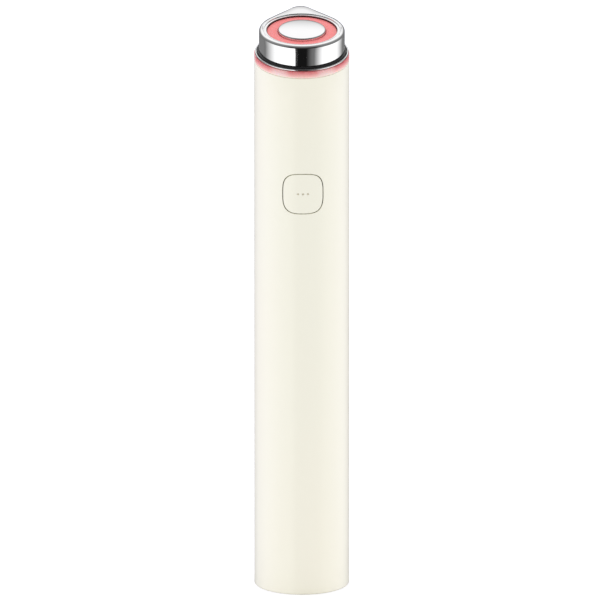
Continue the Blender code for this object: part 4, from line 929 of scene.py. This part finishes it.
def bump(tree, shader, height, depth, strength=1.0):
    """Bumps of a depth in metres, from a height of 0 to 1."""
    inputs = {"Height": height, "Distance": depth, "Strength": strength}
    tree.links.new(add(tree, "ShaderNodeBump", inputs).outputs["Normal"], shader.inputs["Normal"])


def grain(tree, shader, size, depth, stretch=EVEN_STRETCH):
    """Fine bumps of a size and a depth in metres."""
    bump(tree, shader, noise(tree, size, stretch, FINE_DETAIL), depth)


def mottle(tree, shader, colour, change_share, size):
    """The colour, a little darker here and lighter there."""
    darker = [value * (1 - change_share) for value in colour]
    lighter = [min(value * (1 + change_share), 1) for value in colour]
    share = spread(tree, noise(tree, size), 0.0, 1.0)
    tree.links.new(blend_colours(tree, share, darker, lighter), shader.inputs["Base Color"])


def light_up(tree, shader, colour, strength):
    """Gives the shader a colour in which it also glows a little."""
    tree.links.new(colour, shader.inputs["Base Color"])
    tree.links.new(colour, shader.inputs["Emission Color"])
    shader.inputs["Emission Strength"].default_value = strength


# Finishes


def plain_finish(
    name, colour, roughness, metallic=0.0,
    change_share=PLAIN_CHANGE_SHARE, blob=PLAIN_BLOB, grit=PLAIN_GRIT, depth=PLAIN_GRIT_DEPTH,
):
    """Moulded, printed or cast stuff: mottled colour, uneven gloss and a fine grain."""
    material, tree, shader = new_finish(name, roughness, metallic)
    mottle(tree, shader, colour, change_share, blob)
    roughen(tree, shader, *[roughness * share for share in ROUGHNESS_SHARES], blob)
    grain(tree, shader, grit, depth)
    return material


def shaded_dot_finish(name):
    """The button's light dots: a warm white, darkened with the painted shade of their small holes."""
    return plain_finish(name, shade(DOT_SHADED_COLOUR), DOT_GLOSS, blob=DOT_BLOB)


def cream_finish(name):
    """Smooth lacquered plastic: an even cream that is a touch warmer in broad patches."""
    material, tree, shader = new_finish(name, CREAM_GLOSS, IOR=CREAM_IOR)
    share = spread(tree, noise(tree, CREAM_PATCH, LONG_STRETCH), 0.0, 1.0)
    colour = blend_colours(tree, share, shade(CREAM_COOL), shade(CREAM_WARM))
    tree.links.new(colour, shader.inputs["Base Color"])
    roughen(tree, shader, *CREAM_ROUGHNESS)
    grain(tree, shader, *CREAM_GRAIN)
    return material


def chrome_finish(name):
    """Mirror plating with faint haze and the finest wiping marks."""
    material, tree, shader = new_finish(name, CHROME_GLOSS, metallic=1.0)
    mottle(tree, shader, CHROME, CHROME_CHANGE_SHARE, CHROME_PATCH)
    roughen(tree, shader, *CHROME_ROUGHNESS, WIPED_STRETCH)
    grain(tree, shader, *CHROME_GRAIN, LONG_STRETCH)
    return material


def glow_ring_finish(name):
    """Frosted pink plastic with a faint glow, deeper pink at the top and paler towards its foot, with
    painted light: pale patches at six places round it for the small lights behind it.
    """
    scatter = {"Subsurface_Weight": RING_SCATTER, "Subsurface_Scale": SCATTER_LENGTH}
    material, tree, shader = new_finish(name, RING_GLOSS, **scatter)
    deep, middle, pink, pale, foot = map(shade, (RING_DEEP, RING_MIDDLE, RING_PINK, RING_PALE, RING_FOOT))
    axes = point_axes(tree)
    angle = maths(tree, "ARCTAN2", axes["Y"], axes["X"])
    # Painted light: the ring is paler at six places round it
    painted_glow_spots = smooth(tree, maths(tree, "COSINE", maths(tree, "MULTIPLY", angle, LIGHT_COUNT)), *LIGHT_EDGE)
    falling = smooth(tree, head_height(tree), RING_TOP, SEAM_GAP)
    away_colour = blend_colours(tree, falling, deep, middle)
    painted_glow_colour = blend_colours(tree, falling, pink, pale)
    colour = blend_colours(tree, painted_glow_spots, away_colour, painted_glow_colour)
    colour = blend_colours(tree, smooth(tree, head_height(tree), *RING_FOOT_EDGE), colour, foot)
    cloudy = spread(tree, noise(tree, RING_CLOUD), 0.0, RING_CLOUD_SHARE)
    light_up(tree, shader, blend_colours(tree, cloudy, colour, pale), RING_GLOW)
    roughen(tree, shader, *RING_ROUGHNESS)
    grain(tree, shader, *RING_GRAIN)
    return material


def glow_window_finish(name):
    """Frosted pink diffuser, lit evenly, with the faint sparkle of its grain."""
    scatter = {"Subsurface_Weight": WINDOW_SCATTER, "Subsurface_Scale": SCATTER_LENGTH}
    material, tree, shader = new_finish(name, WINDOW_GLOSS, **scatter)
    share = spread(tree, noise(tree, WINDOW_SPARKLE, detail=FINE_DETAIL), 0.0, 1.0)
    colour = blend_colours(tree, share, shade(WINDOW_DEEP), shade(WINDOW_LIGHT))
    light_up(tree, shader, colour, WINDOW_GLOW)
    roughen(tree, shader, *WINDOW_ROUGHNESS)
    grain(tree, shader, *WINDOW_GRAIN)
    return material


def board_finish(name, mask, trace):
    """Solder mask with traces that show through it as a net of slightly lighter lines."""
    material, tree, shader = new_finish(name, BOARD_GLOSS)
    inputs = {"Vector": point_in(tree), "Scale": TRACES_PER_METRE}
    cells = add(tree, "ShaderNodeTexVoronoi", inputs, distance="CHEBYCHEV")
    line = smooth(tree, cells.outputs["Distance"], *TRACE_EDGE)
    tree.links.new(blend_colours(tree, line, mask, trace), shader.inputs["Base Color"])
    roughen(tree, shader, *BOARD_ROUGHNESS)
    bump(tree, shader, line, TRACE_DEPTH, TRACE_STRENGTH)
    return material


def banded_finish(name, colour, print_and_shade_colour, pitch, metallic, roughness):
    """Turns of wire with painted shade in the creases between them, and the printed bands of a sleeve, all
    laid along the height.
    """
    material, tree, shader = new_finish(name, roughness, metallic)
    wave = maths(tree, "SINE", maths(tree, "MULTIPLY", point_axes(tree)["Z"], math.tau / pitch))
    turns = smooth(tree, wave, *BAND_EDGE)
    tree.links.new(blend_colours(tree, turns, print_and_shade_colour, colour), shader.inputs["Base Color"])
    roughen(tree, shader, *[roughness * share for share in ROUGHNESS_SHARES], BAND_BLOB)
    bump(tree, shader, turns, pitch / TWICE, BAND_STRENGTH)
    return material


OWN_FINISHES = {
    "cream_shell": cream_finish,
    "cream_button": cream_finish,
    "pink_ring": glow_ring_finish,
    "pink_window": glow_window_finish,
    "chrome": chrome_finish,
    "light_dot": shaded_dot_finish,
}
SHARED_FINISHES = (
    (plain_finish, PLAIN_LOOKS),
    (board_finish, BOARD_LOOKS),
    (banded_finish, BANDED_LOOKS),
)


def finish_for(slot):
    """The finish of a slot, made once."""
    name = slot + "_finish"
    made = bpy.data.materials.get(name)
    if made:
        return made
    for finish, looks in SHARED_FINISHES:
        if slot in looks:
            return finish(name, **looks[slot])
    return OWN_FINISHES[slot](name)


def dress(piece, slot, body, *nodes, finish_name=None):
    """Gives a piece its finish and its body, and hides the CAD nodes that it stands for."""
    piece.data.materials.clear()
    piece.data.materials.append(finish_for(finish_name or slot))
    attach(piece, body)
    if nodes:
        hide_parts(*nodes)


def dress_frame():
    """Every CAD node gets the finish of its slot, also where it hides inside."""
    for part in frame["record"]["subparts"]:
        node = frame["nodes"][part["node"]]
        node.data.materials.clear()
        node.data.materials.append(finish_for(part["material_slot"]))


# Floor, light and camera


def bare_nodes(holder):
    """The node tree of a material or a world, with nothing in it yet."""
    holder.use_nodes = True
    holder.node_tree.nodes.clear()
    return holder.node_tree


def make_floor():
    """A pale floor that is lifted to white for the camera and keeps the pen's soft shadow."""
    form = bmesh.new()
    corners = ((-1, -1), (1, -1), (1, 1), (-1, 1))
    form.faces.new([form.verts.new((x * FLOOR_HALF, y * FLOOR_HALF, 0)) for x, y in corners])
    floor = place("floor", form)
    material = bpy.data.materials.new("floor_finish")
    tree = bare_nodes(material)
    rays = add(tree, "ShaderNodeLightPath")
    paint = add(tree, "ShaderNodeBsdfDiffuse", {"Color": FLOOR_COLOUR})
    lift = maths(tree, "MULTIPLY", rays.outputs["Is Camera Ray"], FLOOR_LIFT)
    glow = add(tree, "ShaderNodeEmission", {"Color": WHITE, "Strength": lift})
    both = add(tree, "ShaderNodeAddShader", {0: paint.outputs[0], 1: glow.outputs[0]})
    add(tree, "ShaderNodeOutputMaterial", {"Surface": both.outputs[0]})
    floor.data.materials.append(material)
    floor.visible_glossy = False


def glow_card(tree, turn, rise, level, *edges):
    """How bright a card is, by direction, with a soft edge on its left, right, foot and top."""
    card = level
    for way, edge in zip((turn, turn, rise, rise), edges):
        card = maths(tree, "MULTIPLY", card, smooth(tree, way, *edge))
    return card


def tent_light(tree):
    """How bright the tent is, by direction: as the brightest of its cards there."""
    point = point_in(tree)
    axes = add(tree, "ShaderNodeSeparateXYZ", {0: point}).outputs
    ahead = maths(tree, "MULTIPLY", axes["Y"], -1.0)
    turn = maths(tree, "DEGREES", maths(tree, "ARCTAN2", axes["X"], ahead))
    upward = maths(tree, "DIVIDE", axes["Z"], TENT_RADIUS)
    rise = maths(tree, "DEGREES", maths(tree, "ARCSINE", upward))
    light = TENT_DARK
    for card in TENT_CARDS:
        light = maths(tree, "MAXIMUM", light, glow_card(tree, turn, rise, *card))
    along_sky = add(tree, "ShaderNodeVectorMath", {0: point, 1: SKY_MIDDLE}, operation="DOT_PRODUCT")
    near_middle = maths(tree, "DIVIDE", along_sky.outputs["Value"], TENT_RADIUS)
    foot = smooth(tree, rise, *SKY_FOOT)
    for level, angles in SKY_CARDS:
        edge = [math.cos(math.radians(angle)) for angle in angles]
        sky = maths(tree, "MULTIPLY", smooth(tree, near_middle, *edge), foot)
        light = maths(tree, "MAXIMUM", light, maths(tree, "MULTIPLY", sky, level))
    return light


def make_tent():
    """What polished and lacquered faces mirror: white and grey cards in the dark. Nothing else sees it."""
    form = bmesh.new()
    bmesh.ops.create_uvsphere(form, u_segments=TENT_STEPS * TWICE, v_segments=TENT_STEPS, radius=TENT_RADIUS)
    tent = place("reflection_tent", form)
    material = bpy.data.materials.new("reflection_tent_finish")
    tree = bare_nodes(material)
    glow = add(tree, "ShaderNodeEmission", {"Color": WHITE, "Strength": tent_light(tree)})
    add(tree, "ShaderNodeOutputMaterial", {"Surface": glow.outputs[0]})
    material.cycles.emission_sampling = "NONE"
    tent.data.materials.append(material)
    for ray in ("camera", "diffuse", "transmission", "volume_scatter", "shadow"):
        setattr(tent, "visible_" + ray, False)


def make_world():
    """White behind the pen, and the same even light from all round."""
    world = bpy.data.worlds.new("studio")
    tree = bare_nodes(world)
    sky = add(tree, "ShaderNodeBackground", {"Color": WHITE, "Strength": WORLD_LEVEL})
    add(tree, "ShaderNodeOutputWorld", {"Surface": sky.outputs[0]})
    bpy.context.scene.world = world


def make_lamp(name, position, power):
    """A soft square lamp that points at the middle of the pen. Mirroring faces don't see it."""
    data = bpy.data.lights.new(name, "AREA")
    data.shape = "SQUARE"
    data.size = LAMP_SIZE
    data.energy = power
    data.color = LAMP_TINT
    lamp = bpy.data.objects.new(name, data)
    bpy.context.scene.collection.objects.link(lamp)
    lamp.location = position
    lamp.rotation_euler = (Vector(CAMERA_TARGET) - lamp.location).to_track_quat("-Z", "Y").to_euler()
    lamp.visible_glossy = False


def make_camera():
    """A long-lens camera a little above the pen, turned slightly aside."""
    data = bpy.data.cameras.new("camera")
    data.sensor_width = SENSOR_WIDTH
    data.lens = CAMERA_DISTANCE * SENSOR_WIDTH / VIEW_WIDTH
    data.clip_start = CAMERA_DISTANCE / CLIP_RATIO
    data.clip_end = CAMERA_DISTANCE * CLIP_RATIO
    camera = bpy.data.objects.new("camera", data)
    bpy.context.scene.collection.objects.link(camera)
    level = math.cos(CAMERA_RISE)
    back = Vector((math.sin(CAMERA_TURN) * level, -math.cos(CAMERA_TURN) * level, math.sin(CAMERA_RISE)))
    camera.location = Vector(CAMERA_TARGET) + back * CAMERA_DISTANCE
    camera.rotation_euler = (-back).to_track_quat("-Z", "Y").to_euler()
    bpy.context.scene.camera = camera


def main():
    """Dresses the frame, builds the outer pieces, and sets up the floor, the light and the camera."""
    make_camera()
    dress_frame()
    make_housing()
    make_base_cap()
    make_button()
    make_light_ring()
    make_metal_cap()
    make_groove_trim_and_shade()
    make_light_window()
    make_window_shade()
    make_centre_disc()
    make_floor()
    make_tent()
    make_world()
    for lamp in LAMPS:
        make_lamp(*lamp)
    bpy.context.scene.view_settings.view_transform = "Standard"


main()
